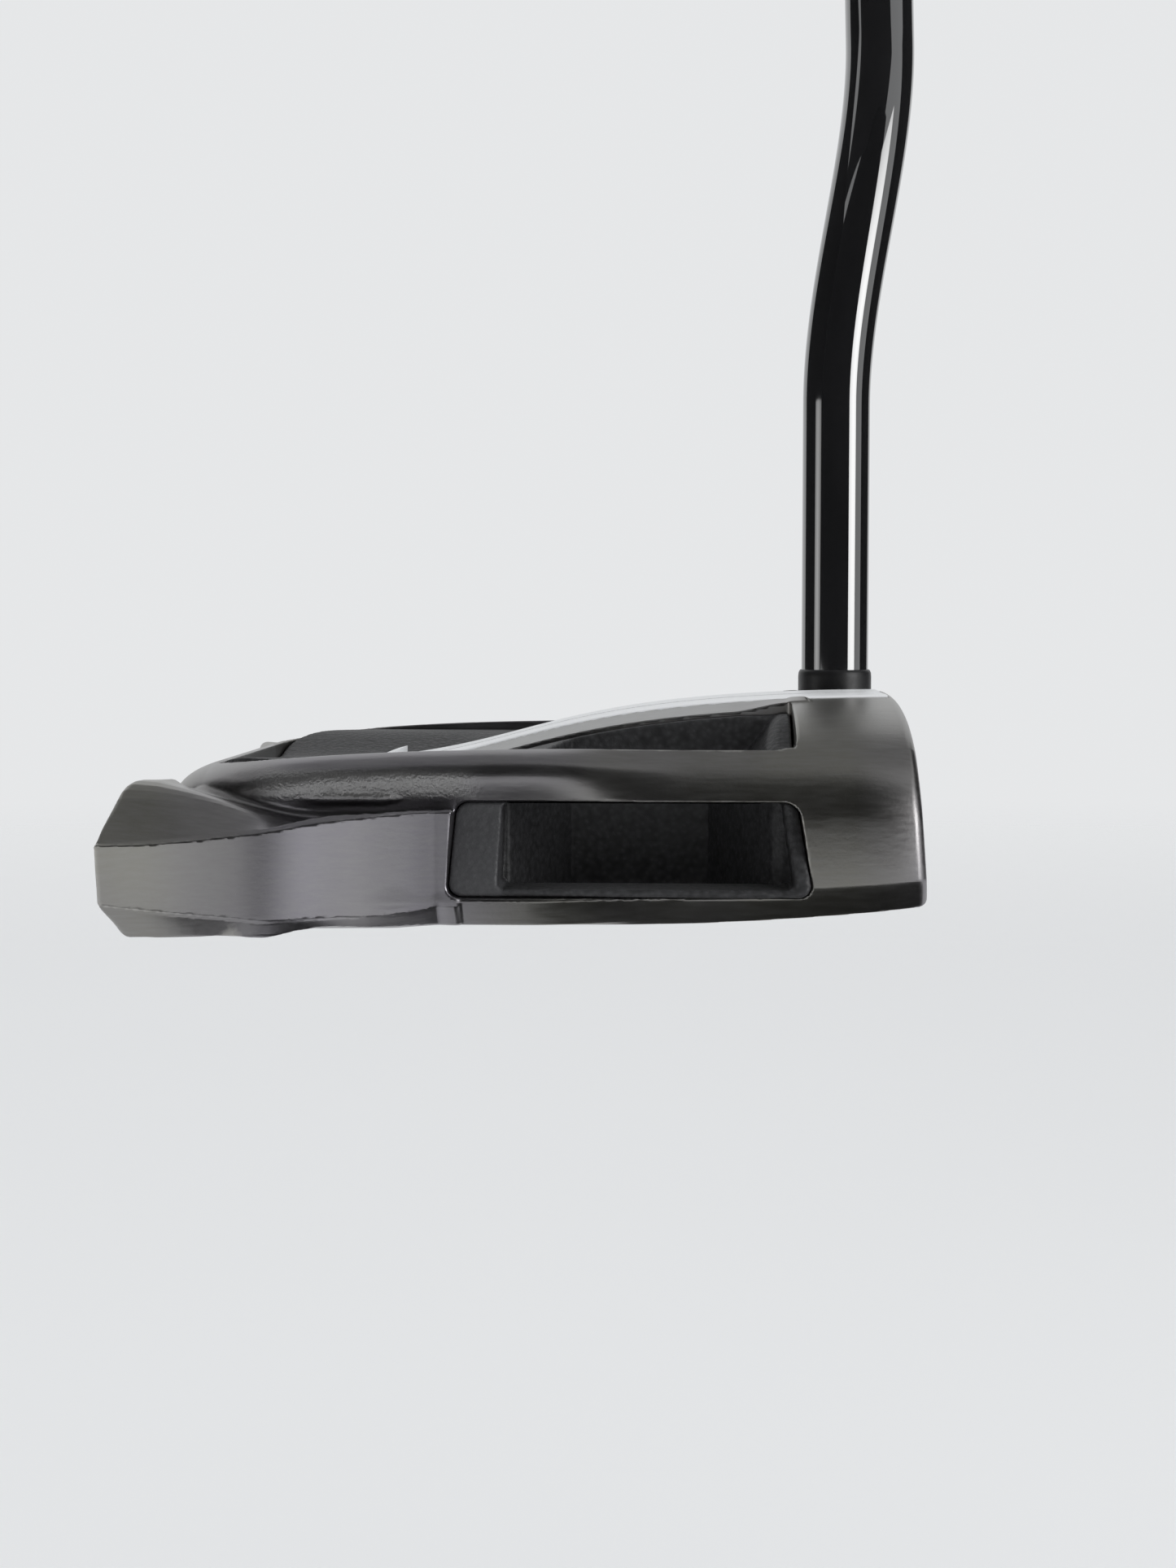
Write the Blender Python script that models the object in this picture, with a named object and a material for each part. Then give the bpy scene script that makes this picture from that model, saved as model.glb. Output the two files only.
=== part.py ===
"""Mallet putter with a double-bend shaft, one object per physical piece.

Metres, +Z up. +X points along the target line, +Y to the heel and -Y to the toe.
Z = 0 is the flat underside of the sole plate.
"""

import math

import bmesh
import bpy
import numpy as np

MM = 0.001

# Fit left between pieces that touch
GAP = 0.3 * MM

# Head frame: front block, walls and rails
LOFT = math.radians(4.0)
FACE_X = 43.6 * MM
FRONT_BLOCK = 15.4 * MM
FACE_CHAMFER = 0.7 * MM
HEAD_TOP = 26.6 * MM
RIM_Y = 37.5 * MM
REAR_RIM_X = -42.0 * MM
RIM_RADIUS = 15.0 * MM
RAIL_TOP = 21.0 * MM
RAIL_DROP = 2.2 * MM
SHOULDER_SIDE = 3.4 * MM
SHOULDER_REAR = 5.2 * MM
SHOULDER_DROP = 4.0 * MM
WALL_FOOT = 7.5 * MM
WALL_FOOT_REAR = 6.0 * MM
FOOT_HEIGHT = 5.2 * MM
TURN_UNDER = 3.0 * MM
FRAME_SOLE = 0.7 * MM
LEAD_LIFT = 2.2 * MM
LIFT_START_X = 5.0 * MM
LIFT_HEIGHT = 8.0 * MM
SEAM = 0.12 * MM
OVERRUN = 4.0 * MM

# Side windows
WINDOW_REAR_X = -11.2 * MM
WINDOW_FRONT_X = 28.4 * MM
WINDOW_LOW = 4.4 * MM
WINDOW_HIGH = 15.2 * MM
WINDOW_FLARE_REAR = 0.7 * MM
WINDOW_FLARE_FRONT = 1.7 * MM
WINDOW_RADIUS = 1.6 * MM

# Rear wings
WING_FRONT_X = -13.0 * MM
WING_REAR_X = -51.2 * MM
WING_Y = 51.6 * MM
WING_ROOT_Y = 38.2 * MM
WING_ROOT_REAR_Y = 33.5 * MM
WING_LEAD = 1.5 * MM
WING_FRONT_Y = 45.0 * MM
WING_EDGE_REAR = 10.9 * MM
WING_EDGE_FRONT = 15.0 * MM
WING_FOOT_REAR = 3.8 * MM
LOBE_TOP = 17.9 * MM
LOBE_DIP = 6.0 * MM
LOBE_LOW = 0.15 * MM

# Spine and the white inlays on it
SPINE_HALF = 12.8 * MM
SPINE_FOOT = 16.8 * MM
SPINE_DROP = 1.2 * MM
SPINE_LIP = 0.6 * MM
SPINE_THICK = 3.2 * MM
SPINE_REAR = 17.0 * MM
SPINE_UNDERCUT = 1.8 * MM
STRIPE_HALF = 12.0 * MM
STRIPE_THICK = 0.9 * MM
STRIPE_PROUD = 0.1 * MM
STRIPE_FRONT_X = 40.6 * MM
STRIPE_REAR_X = -22.6 * MM
TAIL_REAR_X = -38.0 * MM
TAIL_PROUD = 0.7 * MM
SIGHT_HALF = 0.8 * MM
SIGHT_THICK = 0.3 * MM
SIGHT_MARGIN = 2.0 * MM

# Face insert
INSERT_HALF = 33.0 * MM
INSERT_LOW = 5.4 * MM
INSERT_HIGH = 20.6 * MM
INSERT_RADIUS = 6.0 * MM
INSERT_THICK = 1.8 * MM
INSERT_PROUD = 0.1 * MM
PAD_THICK = 0.3 * MM
GROOVES = 9
GROOVE_WIDTH = 0.6 * MM
GROOVE_DEPTH = 0.5 * MM

# Core, liners and sole plate
PLATE_THICK = 2.4 * MM
PLATE_CHAMFER = 0.9 * MM
LINER_DROP = 2.4 * MM
LINER_RIM_DROP = 1.5 * MM
LINER_FLOOR = 1.3 * MM
LINER_WALL = 1.0 * MM
LINER_RECESS = 0.8 * MM
BLOCK_FRONT_X = -5.8 * MM
POCKET_REAR_X = 1.1 * MM
POCKET_FRONT_X = 18.1 * MM
DAMPER_HALF = 9.0 * MM
DAMPER_REAR_X = -26.0 * MM
DAMPER_FRONT_X = 17.0 * MM
DAMPER_TOP = 11.5 * MM
DAMPER_CORNER = 2.2 * MM
SOLE_SCREW_FRONT_X = 24.5 * MM
SOLE_SCREW_REAR_X = -33.5 * MM
SOLE_SCREW_Y = 9.5 * MM
SOLE_SCREW_HEAD_R = 2.7 * MM
SOLE_SCREW_R = 1.3 * MM
SOLE_SCREW_END = 8.8 * MM
SOLE_SCREW_SUNK = 0.1 * MM

# Sole weights and their screws
WEIGHT_X = -36.5 * MM
WEIGHT_Y = 41.5 * MM
WEIGHT_R = 5.5 * MM
WEIGHT_LOW = 1.2 * MM
WEIGHT_HIGH = 8.0 * MM
WEIGHT_SCREW_R = 2.0 * MM
WEIGHT_SCREW_HEAD_R = 3.4 * MM
WEIGHT_SCREW_HEAD = 2.2 * MM
WEIGHT_SCREW_END = 13.0 * MM

# Hosel and shaft
HOSEL_X = 36.0 * MM
HOSEL_Y = 27.0 * MM
HOSEL_SEAT = 23.2 * MM
POST_ROOT_R = 2.5 * MM
POST_LOW = 13.5 * MM
POST_HIGH = 58.0 * MM
COLLAR_R = 5.15 * MM
COLLAR_TOP = 28.9 * MM
SHAFT_TIP_R = 4.7 * MM
SHAFT_BUTT_R = 7.35 * MM
SHAFT_WALL = 0.5 * MM
BEND_LOW = 66.0 * MM
BEND_HIGH = 118.0 * MM
BEND_FORWARD = 6.3 * MM
LIE = math.radians(70.0)
CLUB_LENGTH = 863.6 * MM

# Grip
GRIP_LENGTH = 267.0 * MM
GRIP_TAPE = 0.4 * MM
GRIP_MOUTH_R = 8.7 * MM
GRIP_BUTT_HALF = 12.4 * MM
GRIP_BUTT_BACK = 15.5 * MM
GRIP_FLAT = 0.82
CAP_THICK = 2.4 * MM
CAP_SPIGOT = 5.0 * MM
CAP_ROUND = 1.0 * MM

ROUND = 24


def clear_scene():
    for obj in list(bpy.data.objects):
        bpy.data.objects.remove(obj, do_unlink=True)


def look(name, colour, roughness, metallic=0.0):
    made = bpy.data.materials.new(name)
    made.use_nodes = True
    shader = made.node_tree.nodes["Principled BSDF"]
    shader.inputs["Base Color"].default_value = (*colour, 1.0)
    shader.inputs["Roughness"].default_value = roughness
    shader.inputs["Metallic"].default_value = metallic
    return made


def bezier(p0, p1, p2, p3, count):
    """Points of a cubic curve without its last one."""
    points = []
    for i in range(count):
        t = i / count
        a, b, c, d = (1 - t) ** 3, 3 * t * (1 - t) ** 2, 3 * t * t * (1 - t), t**3
        points.append(tuple(a * w + b * x + c * y + d * z for w, x, y, z in zip(p0, p1, p2, p3)))
    return points


def rounded(u0, u1, v0, v1, radius, steps=5):
    """Outline of a rectangle with round corners."""
    centres = ((u1, v1, 0), (u0, v1, 90), (u0, v0, 180), (u1, v0, 270))
    points = []
    for u, v, start in centres:
        cu = u - math.copysign(radius, u - (u0 + u1) / 2)
        cv = v - math.copysign(radius, v - (v0 + v1) / 2)
        for i in range(steps + 1):
            angle = math.radians(start + 90 * i / steps)
            points.append((cu + radius * math.cos(angle), cv + radius * math.sin(angle)))
    return points


def finish_mesh(name, bm, material, origin):
    bmesh.ops.recalc_face_normals(bm, faces=bm.faces)
    mesh = bpy.data.meshes.new(name)
    bm.to_mesh(mesh)
    bm.free()
    obj = bpy.data.objects.new(name, mesh)
    obj.location = origin
    bpy.context.scene.collection.objects.link(obj)
    if material:
        mesh.materials.append(material)
    return obj


def loft(name, rings, material=None, closed=False, origin=(0.0, 0.0, 0.0)):
    """A body carried through rings of points: capped at both ends, or closed on itself."""
    bm = bmesh.new()
    shift = np.array(origin)
    loops = [[bm.verts.new(np.array(p) - shift) for p in ring] for ring in rings]
    pairs = list(zip(loops, loops[1:]))
    if closed:
        pairs.append((loops[-1], loops[0]))
    for first, second in pairs:
        count = len(first)
        for i in range(count):
            k = (i + 1) % count
            bm.faces.new((first[i], first[k], second[k], second[i]))
    if not closed:
        bm.faces.new(loops[0])
        bm.faces.new(loops[-1])
    bmesh.ops.triangulate(bm, faces=bm.faces)
    return finish_mesh(name, bm, material, origin)


def upright(outline, low, high):
    """Rings of a plan outline between two heights."""
    return [[(x, y, z) for x, y in outline] for z in (low, high)]


def circles(profile, centre=(0.0, 0.0), count=ROUND):
    """A ring about the vertical axis for each (radius, height)."""
    turns = [2 * math.pi * i / count for i in range(count)]
    x, y = centre
    return [[(x + r * math.cos(a), y + r * math.sin(a), z) for a in turns] for r, z in profile]


def combine(target, tool, operation="DIFFERENCE"):
    modifier = target.modifiers.new(tool.name, "BOOLEAN")
    modifier.object = tool
    modifier.operation = operation
    modifier.solver = "EXACT"
    tool.hide_render = True
    tool.display_type = "WIRE"


def face_x(z):
    return FACE_X - z * math.tan(LOFT)


def on_face(y, up, depth):
    """A point given across the face, up its slope and outward from it."""
    x = FACE_X - up * math.sin(LOFT) + depth * math.cos(LOFT)
    return (x, y, up * math.cos(LOFT) + depth * math.sin(LOFT))


def lifted(x, z):
    """Height of a point once the leading edge of the sole is raised, fading out up the head."""
    ramp = max(0.0, (x - LIFT_START_X) / (FACE_X - LIFT_START_X))
    return z + LEAD_LIFT * ramp * ramp * max(0.0, 1 - z / LIFT_HEIGHT)


def wall_outline(top, rear=0.0):
    """Outer side of the wall from rim to sole, as (distance outside the rail's inner face, height).

    The rear share blends the flared side wall into the steep back wall.
    """
    s = SHOULDER_SIDE + (SHOULDER_REAR - SHOULDER_SIDE) * rear
    f = WALL_FOOT + (WALL_FOOT_REAR - WALL_FOOT) * rear
    d, h = SHOULDER_DROP, top - SHOULDER_DROP - FOOT_HEIGHT
    shoulder = (s, top - d)
    foot = (f, FOOT_HEIGHT)
    under = (f - TURN_UNDER, FRAME_SOLE + GAP)
    rail = bezier((0, top), (0.45 * s, top - 0.2 * d), (0.82 * s, top - 0.55 * d), shoulder, 5)
    flare_high = (s + 0.25 * (f - s), FOOT_HEIGHT + 0.75 * h)
    flare_low = (s + 0.7 * (f - s), FOOT_HEIGHT + 0.36 * h)
    flare = bezier(shoulder, flare_high, flare_low, foot, 6)
    turn_high = (f + 0.07 * TURN_UNDER, 0.58 * FOOT_HEIGHT)
    turn_low = (f - 0.3 * TURN_UNDER, 0.27 * FOOT_HEIGHT)
    turn = bezier(foot, turn_high, turn_low, under, 4)
    return rail + flare + turn + [under]


def wall_reach(z):
    """How far outside the rail's inner face the side wall's surface lies at a height."""
    outline = wall_outline(RAIL_TOP)
    return float(np.interp(z, [h for q, h in reversed(outline)], [q for q, h in reversed(outline)]))


def block_outline():
    """Outline of the front block seen from the front, heel half and then toe half."""
    drop = HEAD_TOP - RAIL_TOP
    shoulder, edge = (0.83 * RIM_Y, HEAD_TOP - 0.38 * drop), (RIM_Y, RAIL_TOP + SEAM)
    dome = bezier((0, HEAD_TOP), (0.53 * RIM_Y, HEAD_TOP), shoulder, edge, 10)
    wall = [(RIM_Y + q + SEAM, z) for q, z in wall_outline(RAIL_TOP + SEAM)]
    half = dome + wall
    return half + [(0.0, FRAME_SOLE - SEAM)] + [(-y, z) for y, z in reversed(half[1:])]


def crowned(x, z):
    """Height of a point of the front block once its dome is brought down to the spine behind it."""
    drop = HEAD_TOP - STRIPE_PROUD - spine_z(x)
    return z - drop * max(0.0, (z - RAIL_TOP) / (HEAD_TOP - RAIL_TOP))


def rail_top(x):
    front = FACE_X - FRONT_BLOCK
    share = min(1.0, max(0.0, (front - x) / (front - REAR_RIM_X)))
    return RAIL_TOP - RAIL_DROP * share**4


def inner_outline(inset):
    """Plan outline of the space inside the frame, moved inward, from the front toe corner round the back."""
    front = FACE_X - FRONT_BLOCK - inset
    radius = RIM_RADIUS - inset
    cx, cy = REAR_RIM_X + RIM_RADIUS, RIM_Y - RIM_RADIUS
    toe = [(front, -RIM_Y + inset)]
    for i in range(9):
        angle = math.radians(-90 - 90 * i / 8)
        toe.append((cx + radius * math.cos(angle), -cy + radius * math.sin(angle)))
    return toe + [(x, -y) for x, y in reversed(toe)]


def spine_curve():
    """Side view of the spine's top from back to front, as (x, height)."""
    rise = HEAD_TOP - SPINE_REAR
    rear, front = (REAR_RIM_X - 0.5 * OVERRUN, SPINE_REAR), (FACE_X, HEAD_TOP - STRIPE_PROUD)
    low, high = (0.07 * REAR_RIM_X, SPINE_REAR + 0.125 * rise), (0.33 * FACE_X, SPINE_REAR + 1.083 * rise)
    return bezier(rear, low, high, front, 28) + [front]


SPINE_X, SPINE_Z = np.array(spine_curve()).T


def spine_z(x):
    return float(np.interp(x, SPINE_X, SPINE_Z))


def spine_stations(rear, front):
    inside = [x for x in SPINE_X if rear + MM < x < front - MM]
    return [rear, *inside, front]


def spine_bar(name, rear, front, half, low, high, material=None):
    """A flat bar that follows the spine between two x, its underside and top given from the spine's top."""
    rings = []
    for x in spine_stations(rear, front):
        z0, z1 = spine_z(x) + low(x), spine_z(x) + high(x)
        rings.append([(x, -half, z0), (x, half, z0), (x, half, z1), (x, -half, z1)])
    return loft(name, rings, material)


def make_walls():
    front = FACE_X - FRONT_BLOCK + OVERRUN
    cx, cy = REAR_RIM_X + RIM_RADIUS, RIM_Y - RIM_RADIUS
    path = [(x, -RIM_Y, 0.0, -1.0) for x in np.linspace(front, cx, 8)[:-1]]
    for i in range(10):
        angle = math.radians(-90 - 10 * i)
        c, s = math.cos(angle), math.sin(angle)
        path.append((cx + RIM_RADIUS * c, -cy + RIM_RADIUS * s, c, s))
    path += [(x, -y, nx, -ny) for x, y, nx, ny in reversed(path)]
    rings = []
    for x, y, nx, ny in path:
        section = wall_outline(rail_top(x), max(0.0, -nx)) + [(0.0, FRAME_SOLE)]
        rings.append([(x + nx * q, y + ny * q, lifted(x, z)) for q, z in section])
    return loft("walls", rings)


def make_spine():
    rings = []
    for x in spine_stations(REAR_RIM_X - 0.5 * OVERRUN, FACE_X - FRONT_BLOCK + OVERRUN):
        z = spine_z(x)
        lip = z - SPINE_DROP - SPINE_LIP
        half = [(SPINE_HALF, z), (SPINE_FOOT, z - SPINE_DROP), (SPINE_FOOT, lip)]
        half += [(SPINE_HALF + SPINE_UNDERCUT, lip), (SPINE_HALF + 0.8 * SPINE_UNDERCUT, z - SPINE_THICK)]
        rings.append([(x, y, h) for y, h in half] + [(x, -y, h) for y, h in reversed(half)])
    return loft("spine", rings)


def wing_tracks():
    """Six edges of a wing as cubic curves from front to rear.

    They are the inner top, the lobe's ridge, the outer top, the outer foot, the underside and the inner foot.
    """
    x0, x3 = WING_FRONT_X, WING_REAR_X
    x1, x2 = x0 + (x3 - x0) / 3, x3 - (x3 - x0) / 3
    root, back, flare = WING_ROOT_Y, WING_ROOT_REAR_Y, WING_Y - WING_FRONT_Y
    low, top = FRAME_SOLE - SEAM, WING_EDGE_FRONT
    sag, rise = WING_EDGE_FRONT - WING_EDGE_REAR, WING_FOOT_REAR - FRAME_SOLE
    rake = x0 - x3

    def out(share):
        return WING_FRONT_Y + share * flare

    return (
        (
            (x0, root, top),
            (x1, root, top - 0.5 * sag),
            (x2, root, top - 0.25 * sag),
            (x3 + 0.15 * rake, back, LOBE_TOP - 0.2 * sag),
        ),
        (
            (x0, out(-0.42), top),
            (x1 - 0.1 * rake, out(-0.15), top - LOBE_DIP),
            (x2 + 0.1 * rake, out(0.0), LOBE_TOP - 0.3 * sag),
            (x3 + 0.06 * rake, out(-0.06), LOBE_TOP),
        ),
        (
            (x0, out(0.0), top),
            (x1, out(0.15), top - 0.6 * sag),
            (x2, out(0.45), top - 0.93 * sag),
            (x3 + 0.02 * rake, out(0.91), WING_EDGE_REAR),
        ),
        (
            (x0, out(0.03), FRAME_SOLE + 0.16 * rise),
            (x1, out(0.23), FRAME_SOLE + 0.06 * rise),
            (x2, out(0.53), FRAME_SOLE + 0.42 * rise),
            (x3, WING_Y, WING_FOOT_REAR),
        ),
        (
            (x0, out(-0.27), low + GAP),
            (x1, out(0.09), low),
            (x2, out(0.23), LOBE_LOW),
            (x3 + 0.08 * rake, out(0.33), LOBE_LOW),
        ),
        ((x0, root, low), (x1, root, low), (x2, root, low), (x3 + 0.16 * rake, back, low)),
    )


def make_wing(name, side):
    rings = []
    for i in range(13):
        t = i / 12
        weights = np.array(((1 - t) ** 3, 3 * t * (1 - t) ** 2, 3 * t * t * (1 - t), t**3))
        rings.append([weights @ np.array(track) for track in wing_tracks()])
    lead = []
    for point in rings[0]:
        inward = 1.2 * WING_LEAD if point[1] > WING_ROOT_Y + WING_LEAD else 0.0
        lead.append(point + np.array((WING_LEAD, -inward, 0.0)))
    rings.insert(0, lead)
    return loft(name, [[(x, side * y, z) for x, y, z in ring] for ring in rings])


def window_outline(inset=0.0, rear=WINDOW_REAR_X):
    """Outline of a side window moved inward, as (x, height), longer at the foot than at the top."""
    low, high = WINDOW_LOW + inset, WINDOW_HIGH - inset
    length = WINDOW_FRONT_X - WINDOW_REAR_X
    radius = WINDOW_RADIUS - min(inset, 0.5 * WINDOW_RADIUS)
    flared = []
    for x, z in rounded(rear + inset, WINDOW_FRONT_X - inset, low, high, radius):
        down = (WINDOW_HIGH - z) / (WINDOW_HIGH - WINDOW_LOW)
        along = (x - WINDOW_REAR_X) / length
        flared.append((x + down * (along * WINDOW_FLARE_FRONT - (1 - along) * WINDOW_FLARE_REAR), z))
    return flared


def make_window(name, side):
    inside, outside = RIM_Y - OVERRUN, RIM_Y + 2 * WALL_FOOT
    return loft(name, [[(x, side * y, z) for x, z in window_outline()] for y in (inside, outside)])


def insert_outline(inset):
    half = INSERT_HALF - inset
    return rounded(-half, half, INSERT_LOW + inset, INSERT_HIGH - inset, INSERT_RADIUS - inset)


def face_prism(name, inset, back, front, material=None):
    outline = insert_outline(inset)
    return loft(name, [[on_face(y, up, depth) for y, up in outline] for depth in (back, front)], material)


def make_frame():
    outline = block_outline()
    middle = 0.5 * HEAD_TOP
    across, up = 1 - FACE_CHAMFER / RIM_Y, 1 - FACE_CHAMFER / middle
    nose = [(y * across, middle + (z - middle) * up) for y, z in outline]
    middle_x, back_x = FACE_X - 0.5 * FRONT_BLOCK, FACE_X - FRONT_BLOCK
    rings = (
        [(face_x(z), y, lifted(face_x(z), z)) for y, z in nose],
        [(face_x(z) - FACE_CHAMFER, y, lifted(face_x(z), z)) for y, z in outline],
        [(middle_x, y, lifted(middle_x, crowned(middle_x, z))) for y, z in outline],
        [(back_x, y, lifted(back_x, crowned(back_x, z))) for y, z in outline],
    )
    frame = loft("head_frame", rings, look("gunmetal", (0.055, 0.053, 0.052), 0.34, 1.0))
    for added in (make_walls(), make_spine(), make_wing("toe_wing", -1), make_wing("heel_wing", 1)):
        combine(frame, added, "UNION")
    combine(frame, make_window("toe_window", -1))
    combine(frame, make_window("heel_window", 1))
    depth = INSERT_THICK + PAD_THICK + 2 * GAP - INSERT_PROUD
    combine(frame, face_prism("insert_pocket", -GAP, -depth, OVERRUN))
    recess = STRIPE_THICK - STRIPE_PROUD + GAP
    bed = spine_bar(
        "stripe_bed",
        TAIL_REAR_X - GAP,
        STRIPE_FRONT_X + GAP,
        STRIPE_HALF + GAP,
        lambda x: -recess,
        lambda x: OVERRUN,
    )
    combine(frame, bed)
    hole = POST_ROOT_R + GAP
    seat = (
        (hole, POST_LOW - GAP),
        (hole, HOSEL_SEAT),
        (COLLAR_R + GAP, HOSEL_SEAT),
        (COLLAR_R + GAP, HEAD_TOP + OVERRUN),
    )
    combine(frame, loft("hosel_seat", circles(seat, (HOSEL_X, HOSEL_Y))))
    for name, side in (("toe_port", -1), ("heel_port", 1)):
        port = (
            (WEIGHT_R + GAP, -OVERRUN),
            (WEIGHT_R + GAP, WEIGHT_HIGH + GAP),
            (WEIGHT_SCREW_R + GAP, WEIGHT_HIGH + GAP),
            (WEIGHT_SCREW_R + GAP, WEIGHT_SCREW_END + GAP),
        )
        combine(frame, loft(name, circles(port, (WEIGHT_X, side * WEIGHT_Y))))
    return frame


def make_core():
    """A moulding under the spine whose two lips reach up beside it, hollow for the damping block."""
    side, lip = SPINE_FOOT - 2 * GAP, SPINE_HALF + SPINE_UNDERCUT + GAP
    low = PLATE_THICK + GAP
    rings = []
    for x in spine_stations(REAR_RIM_X + GAP, FACE_X - FRONT_BLOCK - GAP):
        top = spine_z(x) - SPINE_DROP - SPINE_LIP - GAP
        bed = spine_z(x) - SPINE_THICK - GAP
        half = [(side, low), (side, top), (lip, top), (lip, bed)]
        rings.append([(x, y, z) for y, z in half] + [(x, -y, z) for y, z in reversed(half)])
    core = loft("core_body", rings, look("core_black", (0.012, 0.012, 0.013), 0.55))
    reach, corner = DAMPER_HALF + GAP, DAMPER_CORNER + GAP
    hollow = rounded(DAMPER_REAR_X - GAP, DAMPER_FRONT_X + GAP, -reach, reach, corner)
    combine(core, loft("core_hollow", upright(hollow, -OVERRUN, DAMPER_TOP + GAP)))
    for name, spot in sole_screw_spots():
        pilot = circles(((SOLE_SCREW_R + GAP, 0.0), (SOLE_SCREW_R + GAP, SOLE_SCREW_END + GAP)), spot, 12)
        combine(core, loft("pilot_" + name, pilot))
    block = rounded(DAMPER_REAR_X, DAMPER_FRONT_X, -DAMPER_HALF, DAMPER_HALF, DAMPER_CORNER)
    loft("damping_block", upright(block, low, DAMPER_TOP), look("elastomer_grey", (0.09, 0.09, 0.1), 0.9))


def sole_screw_spots():
    spots = []
    for end, x in (("front", SOLE_SCREW_FRONT_X), ("rear", SOLE_SCREW_REAR_X)):
        for side, y in (("toe", -SOLE_SCREW_Y), ("heel", SOLE_SCREW_Y)):
            spots.append((f"sole_screw_{end}_{side}", (x, y)))
    return spots


def make_sole_plate():
    """The plate, and screws whose heads lie in its counterbores."""
    levels = ((GAP + PLATE_CHAMFER, 0.0), (GAP, PLATE_CHAMFER), (GAP, PLATE_THICK))
    rings = [[(x, y, z) for x, y in inner_outline(inset)] for inset, z in levels]
    plate = loft("sole_plate", rings, look("plate_black", (0.02, 0.02, 0.021), 0.45))
    floor = 0.55 * PLATE_THICK
    for name, spot in sole_screw_spots():
        bore = (
            (SOLE_SCREW_HEAD_R + GAP, -OVERRUN),
            (SOLE_SCREW_HEAD_R + GAP, floor),
            (SOLE_SCREW_R + GAP, floor),
            (SOLE_SCREW_R + GAP, PLATE_THICK + OVERRUN),
        )
        combine(plate, loft("bore_" + name, circles(bore, spot, 16)))
        body = (
            (SOLE_SCREW_HEAD_R, SOLE_SCREW_SUNK),
            (SOLE_SCREW_HEAD_R, floor - GAP),
            (SOLE_SCREW_R, floor - GAP),
            (SOLE_SCREW_R, SOLE_SCREW_END),
        )
        screw = loft(name, circles(body, spot, 16), look(name, (0.2, 0.2, 0.21), 0.3, 1.0))
        hexagon = 0.5 * SOLE_SCREW_HEAD_R
        socket = circles(((hexagon, -OVERRUN), (hexagon, 0.6 * floor)), spot, 6)
        combine(screw, loft("socket_" + name, socket))


def make_liner(name, side):
    """A moulded cup beside the core, with a sleeve that lines the window and a block at its rear end."""
    inner = SPINE_FOOT + GAP
    front, rear = FACE_X - FRONT_BLOCK - GAP, REAR_RIM_X + GAP
    outline = [p for p in inner_outline(GAP) if p[1] < -inner]
    outline = [(front, -inner), *outline, (rear, -inner)]
    low = PLATE_THICK + GAP
    rings = [[(x, -side * y, z) for x, y in outline] for z in (low, HEAD_TOP)]
    liner = loft(name, rings, look(name + "_black", (0.014, 0.014, 0.015), 0.5))
    wall, rim = inner + LINER_WALL, RIM_Y - GAP - LINER_WALL
    sleeve = []
    for start in (True, False):
        ring = []
        for x, z in window_outline(GAP):
            ring.append((x, side * (rim if start else RIM_Y + wall_reach(z) - LINER_RECESS), z))
        sleeve.append(ring)
    combine(liner, loft(name + "_sleeve", sleeve), "UNION")
    hollow = [(BLOCK_FRONT_X, rim), (POCKET_REAR_X, wall), (POCKET_FRONT_X, wall), (front - LINER_WALL, rim)]
    well = upright([(x, side * y) for x, y in hollow], low + LINER_FLOOR, 2 * HEAD_TOP)
    combine(liner, loft(name + "_hollow", well))
    opening = window_outline(GAP + LINER_WALL, BLOCK_FRONT_X - GAP - LINER_WALL)
    cut = [[(x, side * y, z) for x, z in opening] for y in (rim - LINER_WALL, RIM_Y + 2 * WALL_FOOT)]
    combine(liner, loft(name + "_opening", cut))
    outer = RIM_Y + WALL_FOOT
    roof = []
    for x in spine_stations(rear - OVERRUN, front + OVERRUN):
        z = min(spine_z(x) - LINER_DROP, RAIL_TOP - LINER_RIM_DROP)
        roof.append([(x, -outer, z), (x, outer, z), (x, outer, 2 * HEAD_TOP), (x, -outer, 2 * HEAD_TOP)])
    combine(liner, loft(name + "_roof", roof))


def make_inlays():
    white = look("stripe_white", (0.8, 0.8, 0.78), 0.4)
    under = STRIPE_PROUD - STRIPE_THICK
    stripe = spine_bar(
        "alignment_stripe",
        STRIPE_REAR_X,
        STRIPE_FRONT_X,
        STRIPE_HALF,
        lambda x: under,
        lambda x: STRIPE_PROUD,
        white,
    )
    floor = STRIPE_PROUD - SIGHT_THICK - GAP
    groove = spine_bar(
        "sight_groove",
        STRIPE_REAR_X + SIGHT_MARGIN - GAP,
        STRIPE_FRONT_X - SIGHT_MARGIN + GAP,
        SIGHT_HALF + GAP,
        lambda x: floor,
        lambda x: OVERRUN,
    )
    combine(stripe, groove)
    spine_bar(
        "sight_line",
        STRIPE_REAR_X + SIGHT_MARGIN,
        STRIPE_FRONT_X - SIGHT_MARGIN,
        SIGHT_HALF,
        lambda x: floor + GAP,
        lambda x: STRIPE_PROUD,
        look("sight_black", (0.015, 0.015, 0.015), 0.5),
    )
    start = STRIPE_REAR_X - 1.5 * GAP
    spine_bar(
        "alignment_tail",
        TAIL_REAR_X,
        start,
        STRIPE_HALF,
        lambda x: under,
        lambda x: TAIL_PROUD * (x - TAIL_REAR_X) / (start - TAIL_REAR_X) + STRIPE_PROUD,
        look("tail_white", (0.8, 0.8, 0.78), 0.42),
    )


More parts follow.
